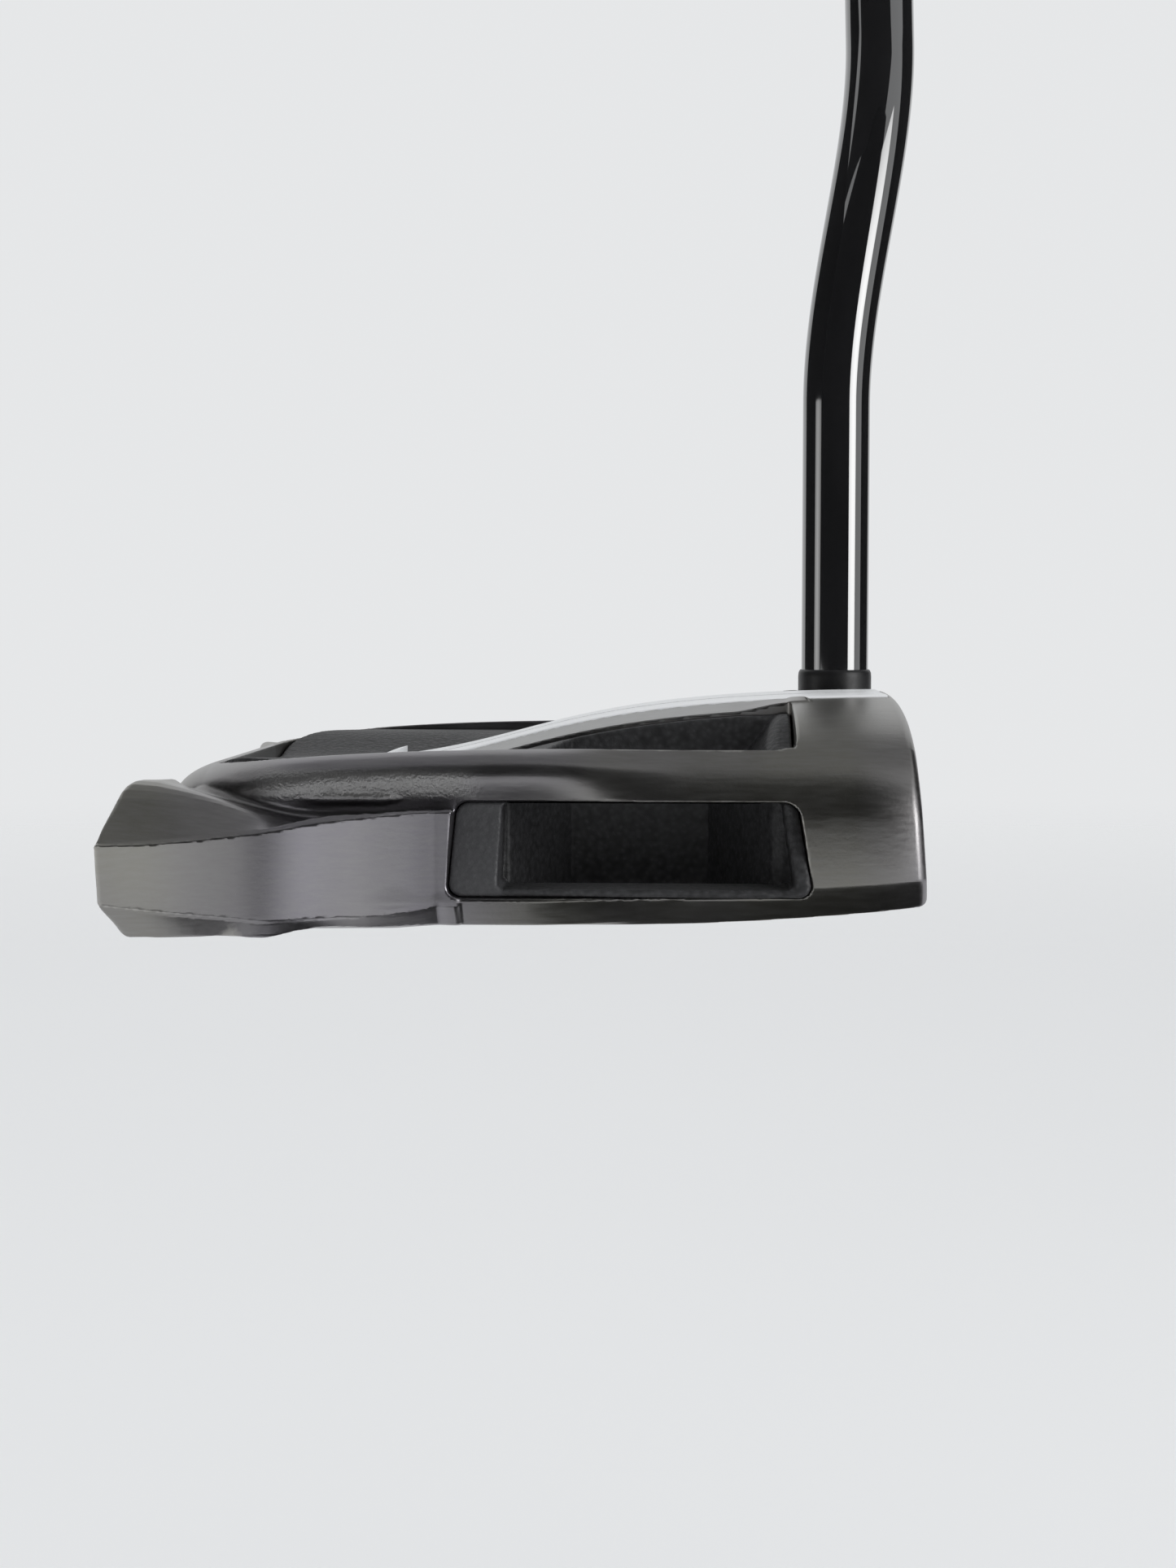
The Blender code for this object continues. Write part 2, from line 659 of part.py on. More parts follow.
def make_insert():
    back = -INSERT_THICK + INSERT_PROUD
    insert = face_prism("face_insert", 0.0, back, INSERT_PROUD, look("insert_grey", (0.05, 0.05, 0.055), 0.5))
    bm = bmesh.new()
    pitch = (INSERT_HIGH - INSERT_LOW) / (GROOVES + 1)
    for i in range(GROOVES):
        up = INSERT_LOW + pitch * (i + 1)
        corners = []
        for depth in (INSERT_PROUD - GROOVE_DEPTH, INSERT_PROUD + OVERRUN):
            for y, lift in ((-1, -0.5), (1, -0.5), (1, 0.5), (-1, 0.5)):
                corners.append(bm.verts.new(on_face(y * 2 * INSERT_HALF, up + lift * GROOVE_WIDTH, depth)))
        for face in ((0, 1, 2, 3), (7, 6, 5, 4), (0, 4, 5, 1), (1, 5, 6, 2), (2, 6, 7, 3), (3, 7, 4, 0)):
            bm.faces.new([corners[k] for k in face])
    combine(insert, finish_mesh("grooves", bm, None, (0.0, 0.0, 0.0)))
    amber = look("pad_amber", (0.3, 0.24, 0.12), 0.7)
    face_prism("insert_bond_pad", 3 * GAP, back - GAP - PAD_THICK, back - GAP, amber)


def make_weight(side_name, side):
    """A puck with a counterbore from below, and the screw that turns in it."""
    centre = (WEIGHT_X, side * WEIGHT_Y)
    origin = (*centre, WEIGHT_LOW)
    head_floor = WEIGHT_LOW + WEIGHT_SCREW_HEAD + 2 * GAP
    profile = (
        (WEIGHT_R, WEIGHT_LOW),
        (WEIGHT_R, WEIGHT_HIGH),
        (WEIGHT_SCREW_R + GAP, WEIGHT_HIGH),
        (WEIGHT_SCREW_R + GAP, head_floor),
        (WEIGHT_SCREW_HEAD_R + GAP, head_floor),
        (WEIGHT_SCREW_HEAD_R + GAP, WEIGHT_LOW),
    )
    steel = look(side_name + "_weight_steel", (0.35, 0.35, 0.36), 0.3, 1.0)
    loft(side_name + "_weight", circles(profile, centre), steel, True, origin)
    low, high = head_floor - GAP - WEIGHT_SCREW_HEAD, head_floor - GAP
    body = (
        (WEIGHT_SCREW_HEAD_R, low),
        (WEIGHT_SCREW_HEAD_R, high),
        (WEIGHT_SCREW_R, high),
        (WEIGHT_SCREW_R, WEIGHT_SCREW_END),
    )
    dark = look(side_name + "_screw_steel", (0.12, 0.12, 0.13), 0.35, 1.0)
    screw = loft(side_name + "_weight_screw", circles(body, centre), dark, False, origin)
    socket, depth = 0.5 * WEIGHT_SCREW_HEAD_R, 0.64 * WEIGHT_SCREW_HEAD
    hexagon = circles(((socket, low - OVERRUN), (socket, low + depth)), centre, 6)
    combine(screw, loft(side_name + "_hexagon", hexagon))


def shaft_path():
    """Centres of the shaft from its lower end up: upright, then bent forward and back toward the heel."""
    low = COLLAR_TOP + GAP
    points = [(HOSEL_X, HOSEL_Y, low), (HOSEL_X, HOSEL_Y, BEND_LOW)]
    y = HOSEL_Y
    steps = 22
    rise = (BEND_HIGH - BEND_LOW) / steps
    for i in range(steps):
        share = (i + 0.5) / steps
        lean = (math.pi / 2 - LIE) * share * share * (3 - 2 * share)
        y += rise * math.tan(lean)
        u = (i + 1) / steps
        points.append((HOSEL_X + BEND_FORWARD * u * u * (3 - 2 * u), y, BEND_LOW + rise * (i + 1)))
    return [np.array(p) for p in points]


AXIS = np.array((0.0, math.cos(LIE), math.sin(LIE)))
BACK = np.array((0.0, math.sin(LIE), -math.cos(LIE)))
ACROSS = np.array((1.0, 0.0, 0.0))
BEND_TOP = shaft_path()[-1]
STRAIGHT = (CLUB_LENGTH * math.sin(LIE) - BEND_HIGH) / math.sin(LIE)
SHAFT_END = STRAIGHT - CAP_THICK - CAP_SPIGOT - 2 * GAP


def on_axis(along):
    return BEND_TOP + AXIS * along


def shaft_radius(along):
    """Radius on the straight part, tapering from the foot of the bend to the upper end."""
    start = -(BEND_HIGH - BEND_LOW)
    share = (along - start) / (SHAFT_END - start)
    return SHAFT_TIP_R + (SHAFT_BUTT_R - SHAFT_TIP_R) * min(max(share, 0.0), 1.0)


def make_shaft():
    path = shaft_path()
    radii = [shaft_radius(p[2] - BEND_HIGH) for p in path]
    for along in np.linspace(0.0, SHAFT_END, 7)[1:]:
        path.append(on_axis(along))
        radii.append(shaft_radius(along))
    rings = []
    for i, centre in enumerate(path):
        tangent = path[min(i + 1, len(path) - 1)] - path[max(i - 1, 0)]
        if i < 2:
            tangent = np.array((0.0, 0.0, 1.0))
        tangent = tangent / np.linalg.norm(tangent)
        across = np.cross((0.0, 1.0, 0.0), tangent)
        across /= np.linalg.norm(across)
        other = np.cross(tangent, across)
        rings.append((centre, across, other, radii[i]))
    turns = [2 * math.pi * i / ROUND for i in range(ROUND)]

    def tube(wall):
        return [[c + (r - wall) * (math.cos(a) * u + math.sin(a) * v) for a in turns] for c, u, v, r in rings]

    loft("shaft", tube(0.0) + tube(SHAFT_WALL)[::-1], look("shaft_black", (0.01, 0.01, 0.011), 0.12), True)


def axis_ring(along, radius):
    turns = [2 * math.pi * i / ROUND for i in range(ROUND)]
    return [on_axis(along) + radius * (math.cos(a) * ACROSS + math.sin(a) * BACK) for a in turns]


def grip_ring(along, inset=0.0):
    """Outline of the grip: round behind, flat in front, growing toward its upper end."""
    share = (along - (STRAIGHT - GRIP_LENGTH)) / (GRIP_LENGTH - CAP_THICK)
    share = min(max(share, 0.0), 1.0)
    swell = share * share * (3 - 2 * share)
    half = GRIP_MOUTH_R + (GRIP_BUTT_HALF - GRIP_MOUTH_R) * share**0.6 - inset
    back = GRIP_MOUTH_R + (GRIP_BUTT_BACK - GRIP_MOUTH_R) * swell - inset
    flat = GRIP_FLAT * half + (1 - GRIP_FLAT) * half * (1 - min(share * 4, 1.0))
    ring = []
    for i in range(ROUND):
        angle = 2 * math.pi * i / ROUND
        v = math.sin(angle)
        depth = back * v if v > 0 else max(half * v, -flat)
        ring.append(on_axis(along) + half * math.cos(angle) * ACROSS + depth * BACK)
    return ring


def make_grip():
    mouth, butt = STRAIGHT - GRIP_LENGTH, STRAIGHT - CAP_THICK - GAP
    bore = 2 * GAP + GRIP_TAPE
    outer = [grip_ring(a) for a in np.linspace(mouth, butt, 15)]
    inner = [axis_ring(a, shaft_radius(a) + bore) for a in np.linspace(butt, mouth, 5)]
    loft("grip", outer + inner, look("grip_rubber", (0.015, 0.015, 0.016), 0.8), True)
    ends = (mouth + OVERRUN, SHAFT_END - 0.25 * OVERRUN)
    sleeve = [axis_ring(a, shaft_radius(a) + GAP + GRIP_TAPE) for a in ends]
    sleeve += [axis_ring(a, shaft_radius(a) + GAP) for a in reversed(ends)]
    loft("grip_tape", sleeve, look("tape_tan", (0.45, 0.38, 0.26), 0.8), True)
    cap_low = STRAIGHT - CAP_THICK
    spigot = SHAFT_BUTT_R + bore - GAP
    cap = [grip_ring(STRAIGHT, CAP_ROUND), grip_ring(STRAIGHT - 0.8 * CAP_ROUND), grip_ring(cap_low)]
    cap += [axis_ring(cap_low, spigot), axis_ring(cap_low - CAP_SPIGOT, spigot)]
    loft("grip_cap", cap, look("cap_black", (0.02, 0.02, 0.02), 0.6))


def make_hosel():
    spot = (HOSEL_X, HOSEL_Y)
    post_r = SHAFT_TIP_R - SHAFT_WALL - GAP
    root = HOSEL_SEAT + GAP
    post = ((POST_ROOT_R, POST_LOW), (POST_ROOT_R, root), (post_r, root), (post_r, POST_HIGH))
    loft("hosel_post", circles(post, spot), look("post_steel", (0.4, 0.4, 0.41), 0.35, 1.0))
    bore = post_r + GAP
    collar = ((COLLAR_R, root), (COLLAR_R, COLLAR_TOP), (bore, COLLAR_TOP), (bore, root))
    loft("hosel_collar", circles(collar, spot), look("collar_black", (0.02, 0.02, 0.021), 0.6), True)


clear_scene()
make_frame()
make_core()
make_liner("toe_pocket_liner", -1)
make_liner("heel_pocket_liner", 1)
make_inlays()
make_insert()
make_sole_plate()
make_weight("toe", -1)
make_weight("heel", 1)
make_hosel()
make_shaft()
make_grip()
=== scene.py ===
"""Looks of a mallet putter: dark cast head, black mouldings, white inlays, gloss shaft and rubber grip."""

import math

import bpy
import numpy as np
from mathutils import Matrix, Vector


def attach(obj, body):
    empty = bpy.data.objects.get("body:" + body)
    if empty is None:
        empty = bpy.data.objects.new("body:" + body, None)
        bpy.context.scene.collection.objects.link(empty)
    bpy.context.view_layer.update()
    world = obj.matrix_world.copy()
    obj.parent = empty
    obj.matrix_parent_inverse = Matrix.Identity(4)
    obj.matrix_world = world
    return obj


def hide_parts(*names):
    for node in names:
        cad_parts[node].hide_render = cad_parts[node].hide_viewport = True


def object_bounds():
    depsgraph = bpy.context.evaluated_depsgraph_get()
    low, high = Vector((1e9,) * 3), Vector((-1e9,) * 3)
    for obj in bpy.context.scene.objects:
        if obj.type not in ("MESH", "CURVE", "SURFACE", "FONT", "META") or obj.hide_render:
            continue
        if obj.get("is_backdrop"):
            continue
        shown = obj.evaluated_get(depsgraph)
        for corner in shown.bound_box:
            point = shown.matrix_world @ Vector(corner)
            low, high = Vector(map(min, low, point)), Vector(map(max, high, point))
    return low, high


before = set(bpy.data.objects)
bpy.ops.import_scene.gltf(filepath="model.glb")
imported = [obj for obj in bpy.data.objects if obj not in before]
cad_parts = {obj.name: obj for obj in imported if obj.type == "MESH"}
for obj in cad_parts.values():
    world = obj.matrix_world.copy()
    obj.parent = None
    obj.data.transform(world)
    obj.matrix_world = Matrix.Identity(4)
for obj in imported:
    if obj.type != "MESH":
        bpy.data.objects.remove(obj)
cad_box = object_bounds()
MM = 0.001

# Head frame, in millimetres: +X out of the face, +Y to the heel, Z up from the sole
LOFT = math.radians(4.0)
FACE_X = 43.6
BLOCK_BACK_X = 28.2
HEAD_TOP = 26.6
RIM_Y = 37.5
REAR_RIM_X = -42.0
RIM_RADIUS = 15.0
RAIL_TOP = 21.3
RAIL_DROP, RAIL_DROP_Z = 2.5, (6.0, 17.0)
FRAME_SOLE = 1.0
LEAD_LIFT = 2.5
LIFT_START_X = 5.0
LIFT_HEIGHT = 16.0
POCKET_CORNER, POCKET_ROUND = 2.5, 0.4
FACE_ROUND = 1.1
FRONT_BLEND_X = (-3.0, 16.0)
CHEEK_X, CHEEK_IN = 35.0, 1.6
DOME_DROP = 1.5
OUTLINE_INSIDE = -13.0
SAND_REAR_X, SAND_FRONT_X = -34.0, -12.0
SAND_LOW, SAND_HIGH = 15.6, 18.7
BEAD_S, BEAD_Z, BEAD_R = 41.0, 15.5, 0.4
BEAD_SINK, BEAD_FILLET = 2.0, 0.6

# Side windows and the sleeves in them
WINDOW_X = (-11.2, 28.4)
WINDOW_Z = (4.4, 15.2)
WINDOW_FLARE = (0.7, 1.7)
WINDOW_RADIUS, WINDOW_ROUND = 1.6, 0.3
WINDOW_INNER_Y = 31.5
SLEEVE_GAP = 0.08
SLEEVE_LIPS = (1.9, 0.95, 0.3)
SLEEVE_RECESS = 0.7
SLEEVE_INNER_Y = 34.0
SLEEVE_MOUTH_Y = 35.0
LINER_FIT, LINER_ROUND = 0.12, 0.35
LINER_WALL = 0.3
LINER_RIM_DROP, LINER_LIP_DROP, LINER_FALL = 1.5, 0.5, 3.0
BLOCK_FRONT_X = -5.8
POCKET_X = (1.1, 18.1)
POCKET_LEAN, POCKET_LEAN_Z = 8.0, (13.0, 25.5)
POCKET_OUTER_Y, POCKET_END_X = 36.2, 26.4
PLATE_THICK = 2.4
PLATE_CROWN = 0.6
SOLE_SCREW_X, SOLE_SCREW_Y = (24.5, -33.5), 9.5
SOLE_SCREW_HEAD_R = 2.7
POCKET_FLOOR = 3.0

# Wings
WING_X = (-13.0, -51.2)
WING_NOSE_X = -10.4
WING_NOSE_ROUND = 0.5
WING_FOLD_X, WING_FOLD_WIDE, WING_FOLD_DEEP = -12.9, 0.8, 0.12
WING_FILLET, NOSE_FILLET = 1.3, 0.35
NOSE_FILLET_X = (-19.0, -13.0)
WING_Y = 51.6
WING_FRONT_Y = 45.0
WING_ROOT_Y = 38.2
WING_ROOT_REAR_Y = 33.5
WING_EDGE_FRONT, WING_EDGE_REAR = 14.35, 10.95
WING_FOOT_REAR = 3.8
LOBE_TOP = 17.9
LOBE_DIP = 6.0
LOBE_LOW = 0.1
FOOT_FOLD = 0.4
WING_END_X, WING_END_SLANT, WING_END_TUCK = -46.7, 0.235, 0.25
PANEL_MIDDLE_Z = 8.0
PANEL_Y = (42.5, 45.0)
PANEL_WAVES = ((-25.5, 4.0, 0.05), (-32.5, 2.8, -0.06))

# Spine and inlays
SPINE_HALF, SPINE_FOOT = 11.6, 16.8
SPINE_DROP, SPINE_LIP, SPINE_THICK = 1.2, 1.0, 3.2
SPINE_FRONT_DROP, SPINE_EASE_X = 0.35, 21.0
SPINE_UNDERCUT = (14.6, 14.2)
SPINE_INSIDE = -9.0
SPINE_RUN = 2.0
SPINE_FILLET = 0.8
REAR_SINK, REAR_SINK_X = 1.5, (-31.0, -23.0)
STRIPE_HALF = 12.0
STRIPE_THICK = 0.9
STRIPE_PROUD = 0.1
BED_FIT = 0.1
STRIPE_X = (-22.6, 40.6)
TAIL_REAR_X = -38.0
TAIL_PROUD = 1.0
SIGHT_HALF = 0.8
SIGHT_MARGIN = 2.0
SIGHT_DEPTH = 0.15
SIGHT_SUNK = 0.08

# Face insert
INSERT_HALF = 33.0
INSERT_UP = (5.4, 20.6)
INSERT_RADIUS = 6.0
INSERT_THICK = 1.8
INSERT_FIT, INSERT_BACK, INSERT_ROUND = 0.12, 0.5, 0.15
GROOVES = 9
GROOVE_WIDTH, GROOVE_DEPTH = 0.6, 0.5

# Weights
WEIGHT_X, WEIGHT_Y = -36.5, 41.5
WEIGHT_R = 5.5
WEIGHT_Z = (1.2, 8.0)
PORT_FIT, PORT_TOP, PORT_ROUND = 0.2, 8.3, 0.2
SCREW_R, SCREW_HEAD_R = 2.0, 3.4
SCREW_FIT, SCREW_BORE_TOP = 0.3, 13.3
SCREW_HEAD_HIGH, SCREW_TIP = 2.2, 12.95
THREAD_TOP, THREAD_STEP, THREAD_DEEP = 12.6, 0.35, 0.28
SOCKET_HALF, SOCKET_DEEP = 1.55, 1.5

# Hosel, shaft and grip
HOSEL = (36.0, 27.0)
HOSEL_SEAT = 23.2
COLLAR_R, COLLAR_TOP, COLLAR_FIT = 5.15, 28.9, 0.08
SHAFT_TIP_R, SHAFT_BUTT_R = 4.7, 7.35
BEND_Z = (66.0, 118.0)
BEND_FORWARD = 6.3
LIE = math.radians(70.0)
CLUB_LENGTH = 863.6
CAP_THICK = 2.4
GRIP_LENGTH = 267.0
GRIP_MOUTH_R = 8.7
GRIP_BUTT_HALF, GRIP_BUTT_BACK = 12.4, 15.5
GRIP_FLAT = 0.82
GRIP_SIDES = 120
GRIP_ROW, GRIP_ROWS_ROUND = 2.4, 30.0

# Grid steps and most triangles of the pieces made from distance fields, and sides of round pieces
FRAME_STEP, FRAME_MOST = 0.34, 196000
LINER_STEP, LINER_MOST = 0.36, 90000
INSERT_STEP, INSERT_MOST = 0.24, 120000
PLATE_STEP, PLATE_MOST = 0.36, 110000
ROUND_SIDES = 96

# Camera, as fitted to the head's edges in the photograph
PHOTO_HEIGHT = 1927
FOCAL_PIXELS = 3046.6
CAMERA_YAW = math.radians(2.65)
CAMERA_PITCH = math.radians(4.02)
CAMERA_SIDE, CAMERA_BACK, CAMERA_UP = 2.31, 325.8, 37.30


# Curves and blends

def smooth(low, high, value):
    """Ease from 0 at low to 1 at high: t squared times (3 - 2t)."""
    t = np.clip((value - low) / (high - low), 0.0, 1.0)
    return t * t * (3 - 2 * t)


def cubic(p0, p1, p2, p3, count=24):
    """Points of a cubic curve with four control points, both ends kept."""
    t = np.linspace(0.0, 1.0, count + 1)[:, None]
    weights = np.hstack(((1 - t) ** 3, 3 * t * (1 - t) ** 2, 3 * t * t * (1 - t), t**3))
    return weights @ np.array((p0, p1, p2, p3), float)


def round_max(a, b, r):
    """Common part of two solids given by distance, with the edge between them rounded to a radius."""
    return np.minimum(np.maximum(a, b), -r) + np.hypot(np.maximum(a + r, 0), np.maximum(b + r, 0))


def round_min(a, b, r):
    """Two solids given by distance joined, with the corner between them filled to a radius."""
    return np.maximum(np.minimum(a, b), r) - np.hypot(np.maximum(r - a, 0), np.maximum(r - b, 0))


def rounded_box(u, v, u_ends, v_ends, r):
    """Distance to a rectangle with round corners: how far past its inner rectangle, less the radius."""
    du = np.abs(u - sum(u_ends) / 2) - (u_ends[1] - u_ends[0]) / 2 + r
    dv = np.abs(v - sum(v_ends) / 2) - (v_ends[1] - v_ends[0]) / 2 + r
    return np.hypot(np.maximum(du, 0), np.maximum(dv, 0)) + np.minimum(np.maximum(du, dv), 0) - r


def outline_distance(u, v, corners):
    """Distance to a closed outline, negative inside: the nearest side, signed by the sides crossed."""
    nearest, inside = np.inf, False
    for (u0, v0), (u1, v1) in zip(corners, corners[1:] + corners[:1]):
        eu, ev = u1 - u0, v1 - v0
        wu, wv = u - u0, v - v0
        t = np.clip((wu * eu + wv * ev) / (eu * eu + ev * ev + 1e-9), 0, 1)
        nearest = np.minimum(nearest, (wu - eu * t) ** 2 + (wv - ev * t) ** 2)
        crossed = (v0 <= v) != (v1 <= v)
        inside = inside ^ (crossed & (wu < wv * eu / np.where(np.abs(ev) < 1e-9, 1e-9, ev)))
    return np.where(inside, -1, 1) * np.sqrt(nearest)


class Section:
    """Distance to a fixed outline, worked out once on a fine grid and read back between its points."""

    step, low, size = 0.15, (-14.0, -4.0), (440, 240)

    def __init__(self, corners):
        u = self.low[0] + self.step * np.arange(self.size[0])[:, None]
        v = self.low[1] + self.step * np.arange(self.size[1])[None, :]
        self.table = outline_distance(u, v, [tuple(c) for c in corners])

    def read(self, u, v):
        i = np.clip((u - self.low[0]) / self.step, 0, self.size[0] - 1.001)
        j = np.clip((v - self.low[1]) / self.step, 0, self.size[1] - 1.001)
        i0, j0 = i.astype(int), j.astype(int)
        i, j = i - i0, j - j0
        t = self.table
        low = t[i0, j0] * (1 - i) + t[i0 + 1, j0] * i
        high = t[i0, j0 + 1] * (1 - i) + t[i0 + 1, j0 + 1] * i
        return low * (1 - j) + high * j


# Head frame as a distance field

def wall_curve(*parts):
    """Outer side of the wall as cubic curves in a row: the rail, the flare to the foot, under to the sole."""
    return np.vstack([((0, RAIL_TOP),), *(cubic(*part)[1:] for part in parts)])


def wall_section(curve):
    inside = ((OUTLINE_INSIDE, FRAME_SOLE), (OUTLINE_INSIDE, RAIL_TOP))
    return Section(np.vstack((curve, inside)))


SIDE_CURVE = wall_curve(
    ((0, RAIL_TOP), (2.4, 20.8), (4.2, 19.9), (3.95, 17.8)),
    ((3.95, 17.8), (3.75, 16.2), (3.2, 15.4), (3.2, 14.4)),
    ((3.2, 14.4), (3.2, 12.0), (6.6, 9.0), (7.2, 3.9)),
    ((7.2, 3.9), (6.7, 3.1), (5.4, 1.9), (4.4, FRAME_SOLE)),
)
REAR_CURVE = wall_curve(
    ((0, RAIL_TOP), (2.3, 20.6), (4.7, 19.5), (5.2, 17.3)),
    ((5.2, 17.3), (5.4, 14.0), (5.8, 9.4), (6.0, 5.4)),
    ((6.0, 5.4), (5.5, 4.2), (4.2, 2.2), (3.2, FRAME_SOLE)),
)
FRONT_CURVE = wall_curve(
    ((0, RAIL_TOP), (1.6, 20.0), (4.6, 16.8), (5.1, 13.4)),
    ((5.1, 13.4), (5.35, 11.7), (5.5, 8.0), (5.45, 4.8)),
    ((5.45, 4.8), (5.2, 3.8), (4.4, 2.1), (3.6, FRAME_SOLE)),
)
SIDE, REAR, FRONT = (wall_section(curve) for curve in (SIDE_CURVE, REAR_CURVE, FRONT_CURVE))
SIDE_Q, SIDE_Z = SIDE_CURVE[::-1].T
DOME = cubic((0, HEAD_TOP), (0.62 * RIM_Y, HEAD_TOP), (0.86 * RIM_Y, 24.4), (RIM_Y, RAIL_TOP))
BLOCK_OUTLINE = np.vstack((DOME[:-1], FRONT_CURVE + (RIM_Y, 0)))
BLOCK = Section(np.vstack((BLOCK_OUTLINE, ((OUTLINE_INSIDE, FRAME_SOLE), (OUTLINE_INSIDE, HEAD_TOP)))))

SPINE_CURVE = cubic((-28.0, 17.1), (-2.9, 19.4), (-4.1, 26.5), (FACE_X, HEAD_TOP - STRIPE_PROUD), 64)


def rear_sink(x):
    """How far the spine's middle lies below its sides under the tail."""
    return REAR_SINK * (1 - smooth(*REAR_SINK_X, x))


def spine_z(x):
    """Height of the spine's top: a cubic curve that rises early to the level front, sunk under the tail."""
    return np.interp(x, SPINE_CURVE[:, 0], SPINE_CURVE[:, 1]) - rear_sink(x)


def rim_distance(x, s):
    """Distance in plan outside the rail's inner face, and the share by which it looks to the rear."""
    a, b = REAR_RIM_X + RIM_RADIUS - x, s - (RIM_Y - RIM_RADIUS)
    past = np.hypot(np.maximum(a, 0), np.maximum(b, 0))
    rear = np.where(past > 0, np.maximum(a, 0) / np.maximum(past, 1e-6), 0)
    return past + np.minimum(np.maximum(a, b), 0) - RIM_RADIUS, rear


def lead_rise(x):
    """Rise of the sole toward the leading edge: the square of the way there."""
    return LEAD_LIFT * np.clip((x - LIFT_START_X) / (FACE_X - LIFT_START_X), 0, 1) ** 2


def unlifted(x, z):
    """Height in the wall's outline of a point of the head, whose sole rises to the leading edge."""
    return z - lead_rise(x) * (1 - smooth(0.0, LIFT_HEIGHT, z))


def cheek(x):
    """How far the side walls draw in toward the face: the square of the way there."""
    return CHEEK_IN * np.clip((x - CHEEK_X) / (FACE_X - CHEEK_X), 0, 1.2) ** 2


def ring_field(x, s, z):
    """The wall's outline carried round the rim, blended between its side, rear and front forms."""
    q, rear = rim_distance(x, s + cheek(x))
    share = np.clip((BLOCK_BACK_X - x) / (BLOCK_BACK_X - REAR_RIM_X), 0, 1)
    height = unlifted(x, z) + RAIL_DROP * share**4 * smooth(*RAIL_DROP_Z, z)
    wall = SIDE.read(q, height)
    wall = wall + rear * (REAR.read(q, height) - wall)
    return wall + smooth(*FRONT_BLEND_X, x) * (FRONT.read(q, height) - wall)


def block_field(x, s, z):
    """The front outline under its dome, cut off behind, the dome brought down to the spine."""
    drop = np.minimum(HEAD_TOP - STRIPE_PROUD - spine_z(x), DOME_DROP)
    dome = RAIL_TOP + (z - RAIL_TOP) / (1 - drop / (HEAD_TOP - RAIL_TOP))
    height = np.where(z > RAIL_TOP, dome, unlifted(x, z))
    return np.maximum(BLOCK.read(s + cheek(x), height), BLOCK_BACK_X - x)


def spine_field(x, s, z):
    """A flat bar with sloping sides and a lip, following the spine's curve."""
    under = SPINE_DROP + SPINE_LIP
    drop = SPINE_DROP + (SPINE_FRONT_DROP - SPINE_DROP) * smooth(SPINE_EASE_X, BLOCK_BACK_X, x)
    corners = [(SPINE_INSIDE, 0.0), (SPINE_HALF, 0.0), (SPINE_FOOT, rear_sink(x) - drop)]
    corners += [(SPINE_FOOT, -under), (SPINE_UNDERCUT[0], -under)]
    corners += [(SPINE_UNDERCUT[1], -SPINE_THICK), (SPINE_INSIDE, -SPINE_THICK)]
    bar = outline_distance(s, z - spine_z(x), corners)
    return np.maximum(bar, np.maximum(x - BLOCK_BACK_X, REAR_RIM_X - x) - SPINE_RUN)


def wing_tracks():
    """Edges of a wing as cubic curves from front to rear.

    They are the inner top, the lobe, the inner side of the light strip, the panel's top and foot, the fold
    below it, the underside and the inner foot.
    """
    x0, x3 = WING_X
    x1, x2 = x0 + (x3 - x0) / 3, x3 - (x3 - x0) / 3
    root, back, flare, rake = WING_ROOT_Y, WING_ROOT_REAR_Y, WING_Y - WING_FRONT_Y, x0 - x3
    low, top = FRAME_SOLE - 0.1, WING_EDGE_FRONT
    sag, rise = top - WING_EDGE_REAR, WING_FOOT_REAR - FRAME_SOLE

    def out(share):
        return WING_FRONT_Y + share * flare

    inner = ((x0, root, top), (x1, root, top - 0.5 * sag), (x2, root, top - 0.25 * sag))
    lobe = ((x0, out(-0.42), top - 0.6), (x1 - 0.1 * rake, out(-0.2), top - LOBE_DIP))
    lobe += ((x2 + 0.1 * rake, out(-0.05), LOBE_TOP - 0.1 * sag), (x3 + 0.06 * rake, out(-0.12), LOBE_TOP))
    strip = ((x0, out(-0.08), top + 0.25), (x1, out(0.15), top - 0.03 * sag))
    strip += ((x2, out(0.54), top - 0.92 * sag), (x3 + 0.03 * rake, out(0.92), WING_EDGE_REAR + 0.2))
    edge = ((x0, out(0.0), top), (x1, out(0.24), top - 0.2 * sag), (x2, out(0.66), top - 1.15 * sag))
    foot = ((x0, out(-0.02), FRAME_SOLE + 0.7 * rise), (x1, out(0.17), FRAME_SOLE - 0.2 * rise))
    foot += ((x2, out(0.56), FRAME_SOLE + 0.42 * rise), (x3, out(0.90), WING_FOOT_REAR))
    under = ((x0, out(-0.40), low + 0.2), (x1, out(0.10), low), (x2, out(0.62), LOBE_LOW))
    return (
        cubic(*inner, (x3 + 0.15 * rake, back, LOBE_TOP - 0.2 * sag)),
        cubic(*lobe),
        cubic(*strip),
        cubic(*edge, (x3 + 0.02 * rake, out(1.0), WING_EDGE_REAR)),
        cubic(*foot) + (0.0, 0.0, FOOT_FOLD),
        cubic(*foot) - (0.0, 0.4, 0.0),
        cubic(*under, (x3 + 0.08 * rake, out(0.40), LOBE_LOW)),
        cubic((x0, root, low), (x1, root, low), (x2, root, low), (x3 + 0.16 * rake, back, low)),
    )


WING_TRACKS = wing_tracks()


